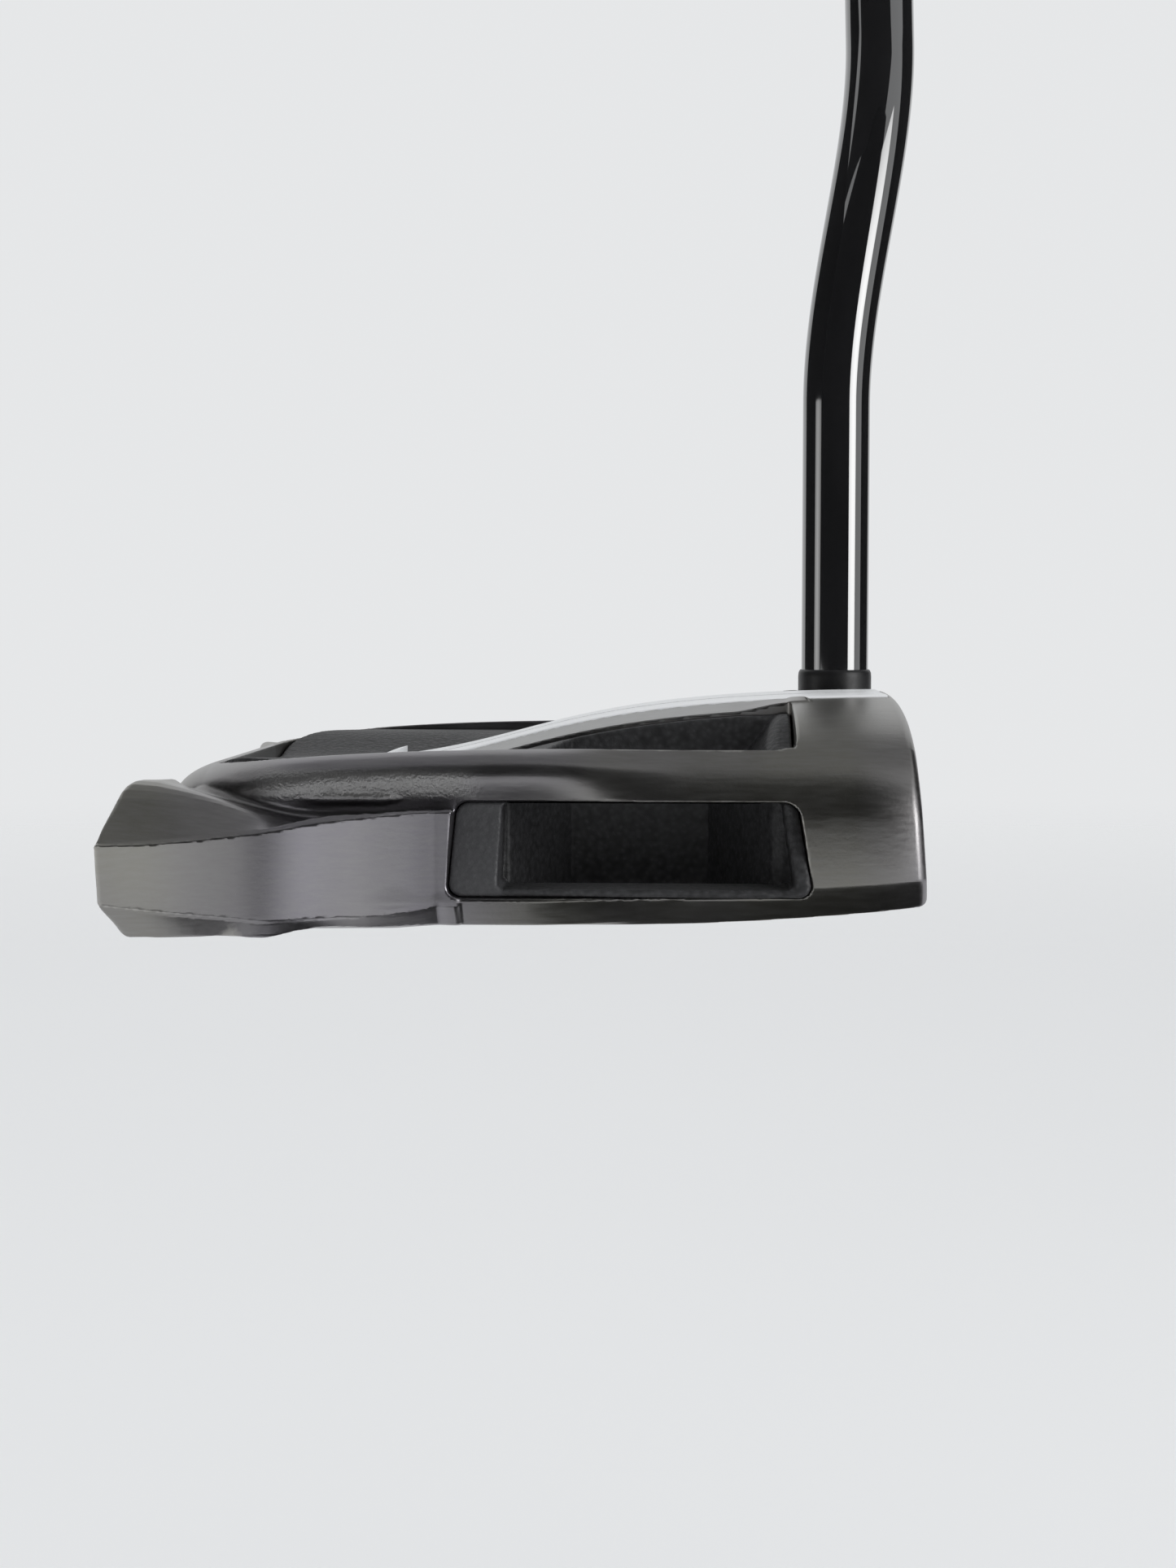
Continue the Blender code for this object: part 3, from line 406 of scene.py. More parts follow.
def wing_field(x, s, z):
    """Outline through the wing's edges at each x, its lobe rounded, cut off in front and slanting behind."""
    points = []
    for track in WING_TRACKS:
        along = track[::-1, 0]
        points.append(tuple(np.interp(x, along, track[::-1, k]) for k in (1, 2)))
    inner, lobe, strip = points[:3]

    def between(a, b, share):
        return tuple(p + (q - p) * share for p, q in zip(a, b))

    crown = []
    for t in (0.0, 0.25, 0.5, 0.75, 1.0):
        start, end = between(inner, lobe, 0.7), between(lobe, strip, 0.3)
        crown.append(between(between(start, lobe, t), between(lobe, end, t), t))
    corners = [inner, *crown, *points[2:]]
    wing = outline_distance(s, z, corners)
    end_x = WING_END_X - WING_END_SLANT * (s - WING_ROOT_REAR_Y)
    end_x = end_x + WING_END_TUCK * np.maximum(0, WING_FOOT_REAR - z)
    wing = wing + WING_FOLD_DEEP * np.exp(-(((x - WING_FOLD_X) / WING_FOLD_WIDE) ** 2))
    on_panel = (PANEL_MIDDLE_Z - z) * smooth(*PANEL_Y, s)
    for place, width, twist in PANEL_WAVES:
        wing = wing + twist * np.exp(-(((x - place) / width) ** 2)) * on_panel
    wing = round_max(wing, x - WING_NOSE_X, WING_NOSE_ROUND)
    end_round = 0.5 + 0.7 * smooth(12, 16, z) + 0.9 * (1 - smooth(1, 4, z))
    return round_max(wing, 0.97 * (end_x - x), end_round)


def window_field(x, z, trim=(0.0, 0.0, 0.0, 0.0), radius=WINDOW_RADIUS):
    """Distance to a window's outline, longer at its foot, trimmed at rear, front, foot and top."""
    rear, front, foot, top = trim
    down = (WINDOW_Z[1] - z) / (WINDOW_Z[1] - WINDOW_Z[0])
    length = WINDOW_X[1] - WINDOW_X[0]
    straight = x + down * (WINDOW_FLARE[0] - sum(WINDOW_FLARE) * -WINDOW_X[0] / length)
    straight = straight / (1 + down * sum(WINDOW_FLARE) / length)
    across, up = (WINDOW_X[0] + rear, WINDOW_X[1] - front), (WINDOW_Z[0] + foot, WINDOW_Z[1] - top)
    return rounded_box(straight, z, across, up, radius)


def face_places(x, z):
    """Distance up the face's slope and outward from the face."""
    up = (FACE_X - x) * math.sin(LOFT) + z * math.cos(LOFT)
    return up, (x - FACE_X) * math.cos(LOFT) + z * math.sin(LOFT)


def frame_half(x, s, z):
    """The frame's two alike halves: ring, block, spine and wings joined, then opened and recessed."""
    q, _ = rim_distance(x, s)
    up, out = face_places(x, z)
    body = np.minimum(ring_field(x, s, z), block_field(x, s, z))
    body = round_max(body, out, FACE_ROUND)
    opening = round_max(q, x - BLOCK_BACK_X, POCKET_CORNER)
    body = round_max(body, -opening, POCKET_ROUND)
    body = round_min(body, spine_field(x, s, z), SPINE_FILLET)
    ends = smooth(SAND_REAR_X - 2, SAND_REAR_X + 8, x) * (1 - smooth(SAND_FRONT_X - 8, SAND_FRONT_X, x))
    bead = np.hypot(s - BEAD_S, z - BEAD_Z) - BEAD_R * ends + BEAD_SINK * (1 - ends)
    body = round_min(body, bead, BEAD_FILLET)
    fillet = WING_FILLET + (NOSE_FILLET - WING_FILLET) * smooth(*NOSE_FILLET_X, x)
    body = round_min(body, wing_field(x, s, z), fillet)
    window = np.maximum(window_field(x, z), WINDOW_INNER_Y - s)
    body = round_max(body, -window, WINDOW_ROUND)
    insert = rounded_box(s, up, (-INSERT_HALF, INSERT_HALF), INSERT_UP, INSERT_RADIUS) - INSERT_FIT
    body = round_max(body, -np.maximum(insert, -INSERT_THICK - INSERT_BACK - out), INSERT_ROUND)
    bed = np.maximum(s - STRIPE_HALF - BED_FIT, spine_z(x) - STRIPE_THICK - z)
    bed = np.maximum(bed, np.maximum(x - STRIPE_X[1], TAIL_REAR_X - x) - BED_FIT)
    body = np.maximum(body, -bed)
    radius = np.hypot(x - WEIGHT_X, s - WEIGHT_Y)
    port = np.maximum(radius - WEIGHT_R - PORT_FIT, z - PORT_TOP)
    port = np.minimum(port, np.maximum(radius - SCREW_R - SCREW_FIT, z - SCREW_BORE_TOP))
    return round_max(body, -port, PORT_ROUND)


def seat_cut(body, x, y, z):
    """The round seat of the collar, in the heel only."""
    seat = np.maximum(np.hypot(x - HOSEL[0], y - HOSEL[1]) - COLLAR_R - COLLAR_FIT, HOSEL_SEAT - z)
    return np.maximum(body, -seat)


def frame_field(x, y, z):
    return seat_cut(frame_half(x, np.abs(y), z), x, y, z)


# Meshes from arrays

EDGE_REACH = 0.45
CORNER_SHARE = 0.3


def placed(name, data):
    """A new object in the scene."""
    obj = bpy.data.objects.new(name, data)
    bpy.context.scene.collection.objects.link(obj)
    return obj


def new_piece(name, points, faces, material, slot, body="club", sharp=32):
    """A mesh object from points in millimetres and faces, shaded smooth but for its sharp edges."""
    mesh = bpy.data.meshes.new(name)
    mesh.from_pydata((np.asarray(points) * MM).tolist(), [], faces)
    mesh.update()
    mesh.shade_smooth()
    if sharp:
        mesh.set_sharp_from_angle(angle=math.radians(sharp))
    obj = placed(name, mesh)
    mesh.materials.append(material)
    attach(obj, body)
    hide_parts(name)
    return obj


def net(field, low, step):
    """Points and quads of the zero surface of a sampled field.

    Each grid cell that the surface crosses gets a point, the mean of the crossings on its edges, and each
    crossed grid edge gets a quad between the four cells round it, turned so that it looks outward.
    """
    inside = field < 0
    count = np.zeros([n - 1 for n in field.shape], np.int8)
    for i in (0, 1):
        for j in (0, 1):
            for k in (0, 1):
                count += inside[i:count.shape[0] + i, j:count.shape[1] + j, k:count.shape[2] + k]
    cells = np.argwhere((count > 0) & (count < 8))
    number = np.full(count.shape, -1, np.int32)
    number[tuple(cells.T)] = np.arange(len(cells))
    total, hits = np.zeros((len(cells), 3)), np.zeros(len(cells))
    for axis in range(3):
        step_on = np.eye(3, dtype=int)[axis]
        others = [a for a in range(3) if a != axis]
        for corner in ((0, 0), (0, 1), (1, 0), (1, 1)):
            start = np.zeros(3, int)
            start[others] = corner
            f0 = field[tuple((cells + start).T)]
            f1 = field[tuple((cells + start + step_on).T)]
            hit = (f0 < 0) != (f1 < 0)
            share = np.where(hit, f0 / np.where(hit, f0 - f1, 1), 0)
            total += hit[:, None] * (start + share[:, None] * step_on)
            hits += hit
    points = np.array(low) + step * (cells + total / hits[:, None])
    quads = []
    for axis in range(3):
        b, c = (axis + 1) % 3, (axis + 2) % 3
        first = np.take(inside, range(field.shape[axis] - 1), axis)
        second = np.take(inside, range(1, field.shape[axis]), axis)
        edges = np.argwhere(first != second)
        edges = edges[(edges[:, b] > 0) & (edges[:, c] > 0)]
        ring = []
        for db, dc in ((-1, -1), (0, -1), (0, 0), (-1, 0)):
            cell = edges.copy()
            cell[:, b] += db
            cell[:, c] += dc
            ring.append(number[tuple(np.minimum(cell, np.array(count.shape) - 1).T)])
        quad = np.stack(ring, 1)
        leaving = first[tuple(edges.T)]
        quads.append(np.where(leaving[:, None], quad, quad[:, ::-1]))
    return points, np.vstack(quads)


def slope(field, points, reach=0.12):
    """Outward direction of a field at points, from its change across a short way each side."""
    grown = []
    for axis in range(3):
        shift = np.eye(3)[axis] * reach
        grown.append(field(*(points + shift).T) - field(*(points - shift).T))
    return np.stack(grown, 1) / (2 * reach)


def settle(field, points, step, rounds=2):
    """Points moved onto the zero surface along the slope, by a part of a grid step at a time."""
    for _ in range(rounds):
        grown = slope(field, points)
        length = np.maximum((grown**2).sum(1), 0.05)
        move = np.clip(field(*points.T) / length, -0.4 * step, 0.4 * step)
        points = points - move[:, None] * grown
    return points


def sampled(field, ends, step, block=4):
    """A field on a fine grid, worked out in full only in the blocks that lie near its surface."""
    counts = [block * math.ceil((high - low) / (block * step)) for low, high in ends]
    lines = [low + step * np.arange(n) for (low, high), n in zip(ends, counts)]
    x, y, z = (line.reshape(-1, block).mean(1) for line in lines)
    values = field(x[:, None, None], y[None, :, None], z[None, None, :])
    for axis in range(3):
        values = values.repeat(block, axis)
    near = np.nonzero(np.abs(values) < 1.5 * block * step)
    values[near] = field(*(line[index] for line, index in zip(lines, near)))
    return values, lines


def sculpt(name, field, values, low, step, most, material, slot):
    """A piece from a distance field: its net, settled, thinned to so many triangles and given true normals.

    Each corner's normal is the field's slope a little way from the corner toward its face's middle, so that
    a flat face stays flat up to its rounded edge.
    """
    points, quads = net(values, low, step)
    points = settle(field, points, step)
    piece = new_piece(name, points, quads.tolist(), material, slot, sharp=0)
    thin = piece.modifiers.new("thin", "DECIMATE")
    thin.ratio = min(1.0, most / (2 * len(quads)))
    seen = piece.evaluated_get(bpy.context.evaluated_depsgraph_get())
    mesh = bpy.data.meshes.new_from_object(seen)
    piece.modifiers.clear()
    piece.data = mesh
    mesh.validate()
    mesh.update()
    mesh.shade_smooth()
    points = read(mesh.vertices, "co", 3) / MM
    corners = read(mesh.loops, "vertex_index", 1, np.int32)[:, 0]
    starts = read(mesh.polygons, "loop_start", 1, np.int32)[:, 0]
    sizes = read(mesh.polygons, "loop_total", 1, np.int32)[:, 0]
    middles = np.add.reduceat(points[corners], starts) / sizes[:, None]
    places = points[corners] + CORNER_SHARE * (np.repeat(middles, sizes, 0) - points[corners])
    grown = slope(field, places)
    normals = grown / np.maximum(np.linalg.norm(grown, axis=1), 1e-6)[:, None]
    mesh.normals_split_custom_set(normals.tolist())
    outward = read(mesh.vertices, "normal", 3)
    edge = 1 + field(*(points - EDGE_REACH * outward).T) / EDGE_REACH
    keep(mesh, "edge", np.clip(edge, -1, 1))
    return piece, points


def carve(name, field, ends, step, most, material, slot):
    """A piece from a distance field between ends along x, y and z."""
    values, lines = sampled(field, ends, step)
    return sculpt(name, field, values, [line[0] for line in lines], step, most, material, slot)


def read(items, what, width, kind=np.float32):
    flat = np.empty(width * len(items), kind)
    items.foreach_get(what, flat)
    return flat.reshape(-1, width)


def keep(mesh, name, values):
    mesh.attributes.new(name, "FLOAT", "POINT").data.foreach_set("value", np.asarray(values, np.float32))


def full_turn(sides):
    """Equal angles once round."""
    return 2 * np.pi * np.arange(sides) / sides


def carried(name, rings, material, slot, wrap=False, body="club"):
    """A ring of points carried through stations (stations by points by 3), capped or joined to itself."""
    rings = np.asarray(rings, float)
    n, m = rings.shape[:2]
    index = np.arange(n * m).reshape(n, m)
    nexts = np.roll(index, -1, 1)
    if wrap:
        onward = np.roll(index, -1, 0)
        quads = np.stack((index, nexts, np.roll(nexts, -1, 0), onward), 2).reshape(-1, 4)
    else:
        quads = np.stack((index[:-1], nexts[:-1], nexts[1:], index[1:]), 2).reshape(-1, 4)
    points = rings.reshape(-1, 3)
    faces = quads.tolist()
    if not wrap:
        points = np.vstack((points, rings[0].mean(0), rings[-1].mean(0)))
        faces += np.stack((nexts[0], index[0], np.full(m, n * m)), 1).tolist()
        faces += np.stack((index[-1], nexts[-1], np.full(m, n * m + 1)), 1).tolist()
    return new_piece(name, points, faces, material, slot, body)


def turned(profile, centre, sides=72):
    """Rings about a vertical axis for a profile of (radius, height)."""
    turn = full_turn(sides)
    r, z = np.array(profile, float).T
    x = centre[0] + r[:, None] * np.cos(turn)
    y = centre[1] + r[:, None] * np.sin(turn)
    return np.stack((x, y, np.broadcast_to(z[:, None], x.shape)), 2)


# Finishes

def node(tree, kind, inputs=(), **settings):
    made = tree.nodes.new(kind)
    for key, value in settings.items():
        setattr(made, key, value)
    for socket, value in dict(inputs).items():
        if isinstance(value, bpy.types.NodeSocket):
            tree.links.new(value, made.inputs[socket])
        else:
            made.inputs[socket].default_value = value
    return made


def start(name, **sockets):
    """A Principled finish with its constant sockets set, and the tree and Object coordinates to work on."""
    made = bpy.data.materials.new(name)
    made.use_nodes = True
    tree = made.node_tree
    shader = tree.nodes["Principled BSDF"]
    for key, value in sockets.items():
        shader.inputs[key.replace("_", " ")].default_value = value
    place = node(tree, "ShaderNodeTexCoord").outputs["Object"]
    return made, tree, shader, place


def grain(tree, place, scale, detail=3.0, stretch=None):
    if stretch:
        place = node(tree, "ShaderNodeMapping", {"Vector": place, "Scale": stretch}).outputs[0]
    inputs = {"Vector": place, "Scale": scale, "Detail": detail, "Roughness": 0.55}
    return node(tree, "ShaderNodeTexNoise", inputs).outputs["Fac"]


def span(tree, value, low, high, to_low=0.0, to_high=1.0):
    inputs = {"Value": value, "From Min": low, "From Max": high, "To Min": to_low, "To Max": to_high}
    return node(tree, "ShaderNodeMapRange", inputs).outputs[0]


def times(tree, a, b, operation="MULTIPLY"):
    return node(tree, "ShaderNodeMath", {0: a, 1: b}, operation=operation).outputs[0]


def mixed(tree, share, a, b):
    made = node(tree, "ShaderNodeMix", data_type="RGBA")
    for socket, value in (("Factor_Float", share), ("A_Color", a), ("B_Color", b)):
        target = next(s for s in made.inputs if s.identifier == socket)
        if isinstance(value, bpy.types.NodeSocket):
            tree.links.new(value, target)
        else:
            target.default_value = value
    return next(s for s in made.outputs if s.identifier == "Result_Color")


def bump(tree, height, strength, distance, onto=None):
    inputs = {"Height": height, "Strength": strength, "Distance": distance}
    if onto:
        inputs["Normal"] = onto
    return node(tree, "ShaderNodeBump", inputs).outputs[0]


def kept(tree, name):
    return node(tree, "ShaderNodeAttribute", attribute_name=name).outputs["Fac"]


def join(tree, shader, base, rough, normal=None):
    """The changing sockets of a finish."""
    for socket, value in (("Base Color", base), ("Roughness", rough), ("Normal", normal)):
        if value is not None:
            tree.links.new(value, shader.inputs[socket])


# Painted reflection on the wings' outer panels: colour scales along x that stand in for light and dark
# reflections
PANEL_PAINTED_SHEEN = (
    (-52.0, 1.55),
    (-42.7, 1.4),
    (-35.6, 1.15),
    (-32.2, 1.0),
    (-28.4, 1.6),
    (-24.8, 1.65),
    (-20.5, 1.5),
    (-16.1, 1.35),
    (-13.4, 1.1),
)


def painted_panel_sheen(tree, place):
    """Painted reflection along the wings' outer panels: a curve through lighter and darker tones at places
    along x.
    """
    first, last = PANEL_PAINTED_SHEEN[0][0], PANEL_PAINTED_SHEEN[-1][0]
    x = node(tree, "ShaderNodeSeparateXYZ", {"Vector": place}).outputs["X"]
    ramp = node(tree, "ShaderNodeValToRGB", {"Fac": span(tree, x, first * MM, last * MM)})
    stops = ramp.color_ramp
    stops.interpolation = "CARDINAL"
    for at, sheen in PANEL_PAINTED_SHEEN[1:-1]:
        stops.elements.new((at - first) / (last - first))
    for stop, (at, sheen) in zip(stops.elements, PANEL_PAINTED_SHEEN):
        stop.color = (sheen / 2, sheen / 2, sheen / 2, 1)
    change = span(tree, ramp.outputs["Color"], 0.0, 1.0, -1.0, 1.0)
    return times(tree, times(tree, change, kept(tree, "panel")), 1.0, "ADD")


def gunmetal():
    """Satin dark coating: fine grain along the head, blasted sand, soft tints, thin bright worn edges,
    painted reflection bands on the panels and a painted sheen on the spine.
    """
    made, tree, shader, place = start("gunmetal_coat", Metallic=1.0)
    brushed = grain(tree, place, 900.0, 3.0, (0.3, 2.2, 2.2))
    cloudy = grain(tree, place, 55.0, 2.0)
    tint = grain(tree, place, 52.0, 1.0, (1.0, 0.1, 0.4))
    base = mixed(tree, span(tree, cloudy, 0.3, 0.7), (0.225, 0.222, 0.217, 1), (0.265, 0.262, 0.257, 1))
    hue = mixed(tree, span(tree, tint, 0.36, 0.64), (0.232, 0.212, 0.270, 1), (0.265, 0.252, 0.205, 1))
    base = mixed(tree, 0.4, base, hue)
    base = mixed(tree, span(tree, brushed, 0.35, 0.75, 0.0, 0.3), base, (0.36, 0.36, 0.355, 1))
    # Painted reflection: the panels' colour scaled lighter and darker along x
    sheened = {0: base, "Scale": painted_panel_sheen(tree, place)}
    base = node(tree, "ShaderNodeVectorMath", sheened, operation="SCALE").outputs[0]
    # Painted sheen: the spine's top made lighter, fading out toward the front block
    base = mixed(tree, span(tree, kept(tree, "spine"), 0.0, 1.0, 0.0, 0.85), base, (0.37, 0.37, 0.365, 1))
    sand = kept(tree, "sand")
    base = mixed(tree, span(tree, sand, 0.0, 1.0, 0.0, 0.7), base, (0.48, 0.475, 0.465, 1))
    chips = grain(tree, place, 420.0, 4.0)
    worn = span(tree, times(tree, kept(tree, "edge"), span(tree, chips, 0.4, 0.75, 0.6, 1.2)), 0.42, 0.68)
    base = mixed(tree, worn, base, (0.50, 0.49, 0.47, 1))
    rough = times(tree, span(tree, brushed, 0.2, 0.8, 0.27, 0.36), span(tree, sand, 0, 1, 0, 0.12), "ADD")
    fine = bump(tree, brushed, 0.12, 0.00006)
    pits = grain(tree, place, 2600.0, 2.0)
    cast = bump(tree, times(tree, pits, span(tree, sand, 0, 1, 0.06, 1.0)), 0.55, 0.00022, fine)
    join(tree, shader, base, rough, cast)
    return made


def pebbled(name, colour, scale=1500.0, depth=0.00016, roughness=0.5):
    """Moulded black plastic with a pebbled skin: rounded cells raised on a dark ground; the cell tops get a
    painted highlight, the ground a painted shade, and marked parts a painted light.
    """
    made, tree, shader, place = start(name)
    cells = node(tree, "ShaderNodeTexVoronoi", {"Vector": place, "Scale": scale}, feature="SMOOTH_F1")
    fine = grain(tree, place, 2.4 * scale, 2.0)
    pale, light = (tuple(share * c for c in colour) for share in (2.2, 4.0))
    # Painted highlight on the raised cell tops and painted shade in the ground between
    base = mixed(tree, span(tree, cells.outputs["Distance"], 0.1, 0.7), (*pale, 1), (*colour, 1))
    # Painted light: the marked rear block at the window's mouth made lighter than the shaded hollow
    base = mixed(tree, span(tree, kept(tree, "light"), 0.0, 1.0, 0.0, 0.6), base, (*light, 1))
    rough = span(tree, fine, 0.2, 0.8, roughness - 0.06, roughness + 0.1)
    high = times(tree, times(tree, cells.outputs["Distance"], -1.0), times(tree, fine, 0.5), "ADD")
    join(tree, shader, base, rough, bump(tree, high, 0.6, depth))
    return made


def satin(name, colour, roughness, metallic=0.0, scale=700.0, vary=0.12, stretch=None, depth=0.00003):
    """An even finish with faint mottling in its colour and roughness and a slight unevenness."""
    made, tree, shader, place = start(name, Metallic=metallic)
    cloudy, fine = grain(tree, place, 60.0, 2.0), grain(tree, place, scale, 3.0, stretch)
    low = tuple(c * (1 - vary) for c in colour)
    high = tuple(min(1.0, c * (1 + vary)) for c in colour)
    base = mixed(tree, span(tree, cloudy, 0.3, 0.7), (*low, 1), (*high, 1))
    rough = span(tree, fine, 0.25, 0.75, roughness * 0.9, roughness * 1.1)
    join(tree, shader, base, rough, bump(tree, fine, 0.15, depth))
    return made


def gloss_black():
    """Deep gloss paint with a hard clear layer and faint handling marks."""
    made, tree, shader, place = start("gloss_black_paint", Coat_Weight=0.6, Coat_Roughness=0.03, IOR=2.2)
    smear = grain(tree, place, 140.0, 4.0, (1.0, 1.0, 0.25))
    base = mixed(tree, span(tree, smear, 0.3, 0.8), (0.0035, 0.0035, 0.004, 1), (0.008, 0.008, 0.009, 1))
    join(tree, shader, base, span(tree, smear, 0.35, 0.75, 0.025, 0.055))
    return made


def grip_rubber():
    """Matt rubber with rows of small raised lozenges, set out along and round the grip by its UV map."""
    made, tree, shader, place = start("grip_rubber")
    uv = node(tree, "ShaderNodeUVMap", uv_map="grip").outputs[0]
    turned_uv = node(tree, "ShaderNodeMapping", {"Vector": uv, "Rotation": (0, 0, math.pi / 4)}).outputs[0]
    rows = {"Vector": turned_uv, "Scale": 1.0, "Randomness": 0.0}
    checks = node(tree, "ShaderNodeTexVoronoi", rows, distance="CHEBYCHEV")
    raised = span(tree, checks.outputs["Distance"], 0.40, 0.48, 1.0, 0.0)
    dusty = grain(tree, place, 90.0, 3.0)
    base = mixed(tree, span(tree, dusty, 0.3, 0.75), (0.011, 0.011, 0.012, 1), (0.022, 0.022, 0.023, 1))
    fine = bump(tree, grain(tree, place, 2400.0, 2.0), 0.25, 0.0001)
    rough = span(tree, raised, 0, 1, 0.85, 0.66)
    join(tree, shader, base, rough, bump(tree, raised, 0.8, 0.0003, fine))
    return made


GUNMETAL = gunmetal()
LINER_BLACK = pebbled("liner_black", (0.016, 0.016, 0.017))
CORE_BLACK = pebbled("core_black", (0.011, 0.011, 0.012))
WHITE = satin("stripe_white", (0.80, 0.81, 0.82), 0.38, vary=0.015)
SIGHT = satin("sight_black", (0.015, 0.015, 0.016), 0.45)
INSERT = satin("insert_grey", (0.10, 0.10, 0.105), 0.42, 1.0, 1500.0, 0.1, (0.3, 2.0, 2.0))
PLATE = satin("plate_black", (0.030, 0.030, 0.031), 0.48, 0.0, 2600.0, 0.15, None, 0.00008)
STEEL = satin("turned_steel", (0.45, 0.45, 0.46), 0.27, 1.0, 900.0, 0.06, (2.0, 2.0, 8.0))
DARK_STEEL = satin("blackened_steel", (0.14, 0.14, 0.15), 0.36, 1.0, 900.0, 0.1)
COLLAR = satin("collar_black", (0.009, 0.009, 0.010), 0.42, 0.0, 1400.0, 0.15, None, 0.00008)
SHAFT = gloss_black()
RUBBER = grip_rubber()
CAP = satin("cap_black", (0.02, 0.02, 0.021), 0.7, 0.0, 1800.0, 0.15, None, 0.0001)
DAMPER = satin("damper_grey", (0.09, 0.09, 0.10), 0.85)
PAD = satin("pad_amber", (0.30, 0.24, 0.12), 0.7)
TAPE = satin("tape_tan", (0.45, 0.38, 0.26), 0.8, 0.0, 1600.0, 0.1, (1.0, 1.0, 6.0))


# Head pieces

def make_frame():
    """One half sampled and mirrored, the collar's seat cut, with marks for sand, the spine's painted sheen
    and the panels' painted reflection.
    """
    ends = ((-53.0, 45.0), (-0.5 * FRAME_STEP, 53.6), (-0.7, 27.9))
    half, (x, s, z) = sampled(frame_half, ends, FRAME_STEP)
    half, s = half[:, 1:], s[1:]
    whole = np.concatenate((half[:, ::-1], half), 1)
    y = np.concatenate((-s[::-1], s))
    whole = seat_cut(whole, x[:, None, None], y[None, :, None], z[None, None, :])
    told = ((x[0], y[0], z[0]), FRAME_STEP, FRAME_MOST, GUNMETAL, "gunmetal")
    piece, points = sculpt("head_frame", frame_field, whole, *told)
    px, py, pz = points.T
    q, _ = rim_distance(px, np.abs(py))
    sand = smooth(SAND_REAR_X - 3, SAND_REAR_X + 3, px) * (1 - smooth(SAND_FRONT_X, SAND_FRONT_X + 5, px))
    sand *= smooth(SAND_LOW - 0.6, SAND_LOW + 0.4, pz)
    sand *= 1 - smooth(SAND_HIGH - 0.5, SAND_HIGH + 0.6, pz)
    keep(piece.data, "sand", sand * (q > 1.0))
    # Mark for the painted sheen on the spine's top, fading out toward the front
    on_spine = (np.abs(py) < SPINE_FOOT + 0.3) & (pz > spine_z(px) - SPINE_DROP - 0.2)
    keep(piece.data, "spine", on_spine * (1 - smooth(18.0, 29.0, px)))
    # The panel mask carries the painted reflection bands
    keep(piece.data, "panel", panel_mask(px, np.abs(py), pz))


def panel_mask(x, s, z):
    """1 on a wing's outer panel, 0 elsewhere."""
    edge, foot = (WING_TRACKS[k][::-1].T for k in (3, 4))
    low, high = np.interp(x, foot[0], foot[2]), np.interp(x, edge[0], edge[2])
    inner, outer = np.interp(x, foot[0], foot[1]), np.interp(x, edge[0], edge[1])
    surface = inner + (outer - inner) * (z - low) / (high - low)
    return (s > surface - 0.6) & (z > low - 0.1) & (z < high + 0.1) & (x < WING_FOLD_X - 0.2)


def liner_field(x, s, z):
    """A moulded cup beside the spine, with a sleeve in the window and a solid block at its rear."""
    q, _ = rim_distance(x, s)
    wall = SPINE_FOOT + LINER_WALL
    rim = RAIL_TOP - LINER_RIM_DROP
    lip = spine_z(x) - SPINE_DROP - LINER_LIP_DROP
    roof = rim + np.maximum(lip - rim, -LINER_FALL) * (1 - smooth(wall + 1.4, SLEEVE_INNER_Y, s))
    cup = np.maximum(q + LINER_FIT, np.maximum(wall - s, x - BLOCK_BACK_X + LINER_FIT))
    cup = round_max(cup, np.maximum(z - roof, PLATE_THICK + LINER_WALL - z), LINER_ROUND)
    mouth = s - RIM_Y - np.interp(z, SIDE_Z, SIDE_Q) + SLEEVE_RECESS
    sleeve = round_max(window_field(x, z, (SLEEVE_GAP,) * 4), mouth, 0.5)
    sleeve = np.maximum(sleeve, SLEEVE_INNER_Y - s)
    cup = np.minimum(cup, sleeve)
    front = POCKET_X[1] + POCKET_LEAN * smooth(*POCKET_LEAN_Z, z)
    corners = [(BLOCK_FRONT_X, POCKET_OUTER_Y), (POCKET_X[0], wall + 1)]
    corners += [(front, wall + 1), (POCKET_END_X, POCKET_OUTER_Y)]
    hollow = outline_distance(x, s, corners)
    hollow = round_max(hollow, POCKET_FLOOR - z, 0.5)
    cup = round_max(cup, -hollow, 0.4 + 0.8 * smooth(22.0, 25.0, x))
    opening = window_field(x, z, (BLOCK_FRONT_X - WINDOW_X[0], *SLEEVE_LIPS), 0.7)
    opening = np.maximum(opening, SLEEVE_MOUTH_Y - s)
    return round_max(cup, -opening, LINER_ROUND + 0.75 * smooth(24.0, 26.0, x))


def make_liners():
    for name, side in (("toe_pocket_liner", -1), ("heel_pocket_liner", 1)):
        def field(x, y, z):
            return liner_field(x, side * y, z)

        across = (-46.0, -16.0) if side < 0 else (16.0, 46.0)
        ends = ((-43.0, 31.5), across, (2.0, 26.6))
        piece, points = carve(name, field, ends, LINER_STEP, LINER_MOST, LINER_BLACK, "liner_black")
        # Mark for the painted light on the rear block at the window's mouth
        keep(piece.data, "light", (points[:, 0] < BLOCK_FRONT_X + 0.3) & (np.abs(points[:, 1]) > RIM_Y))


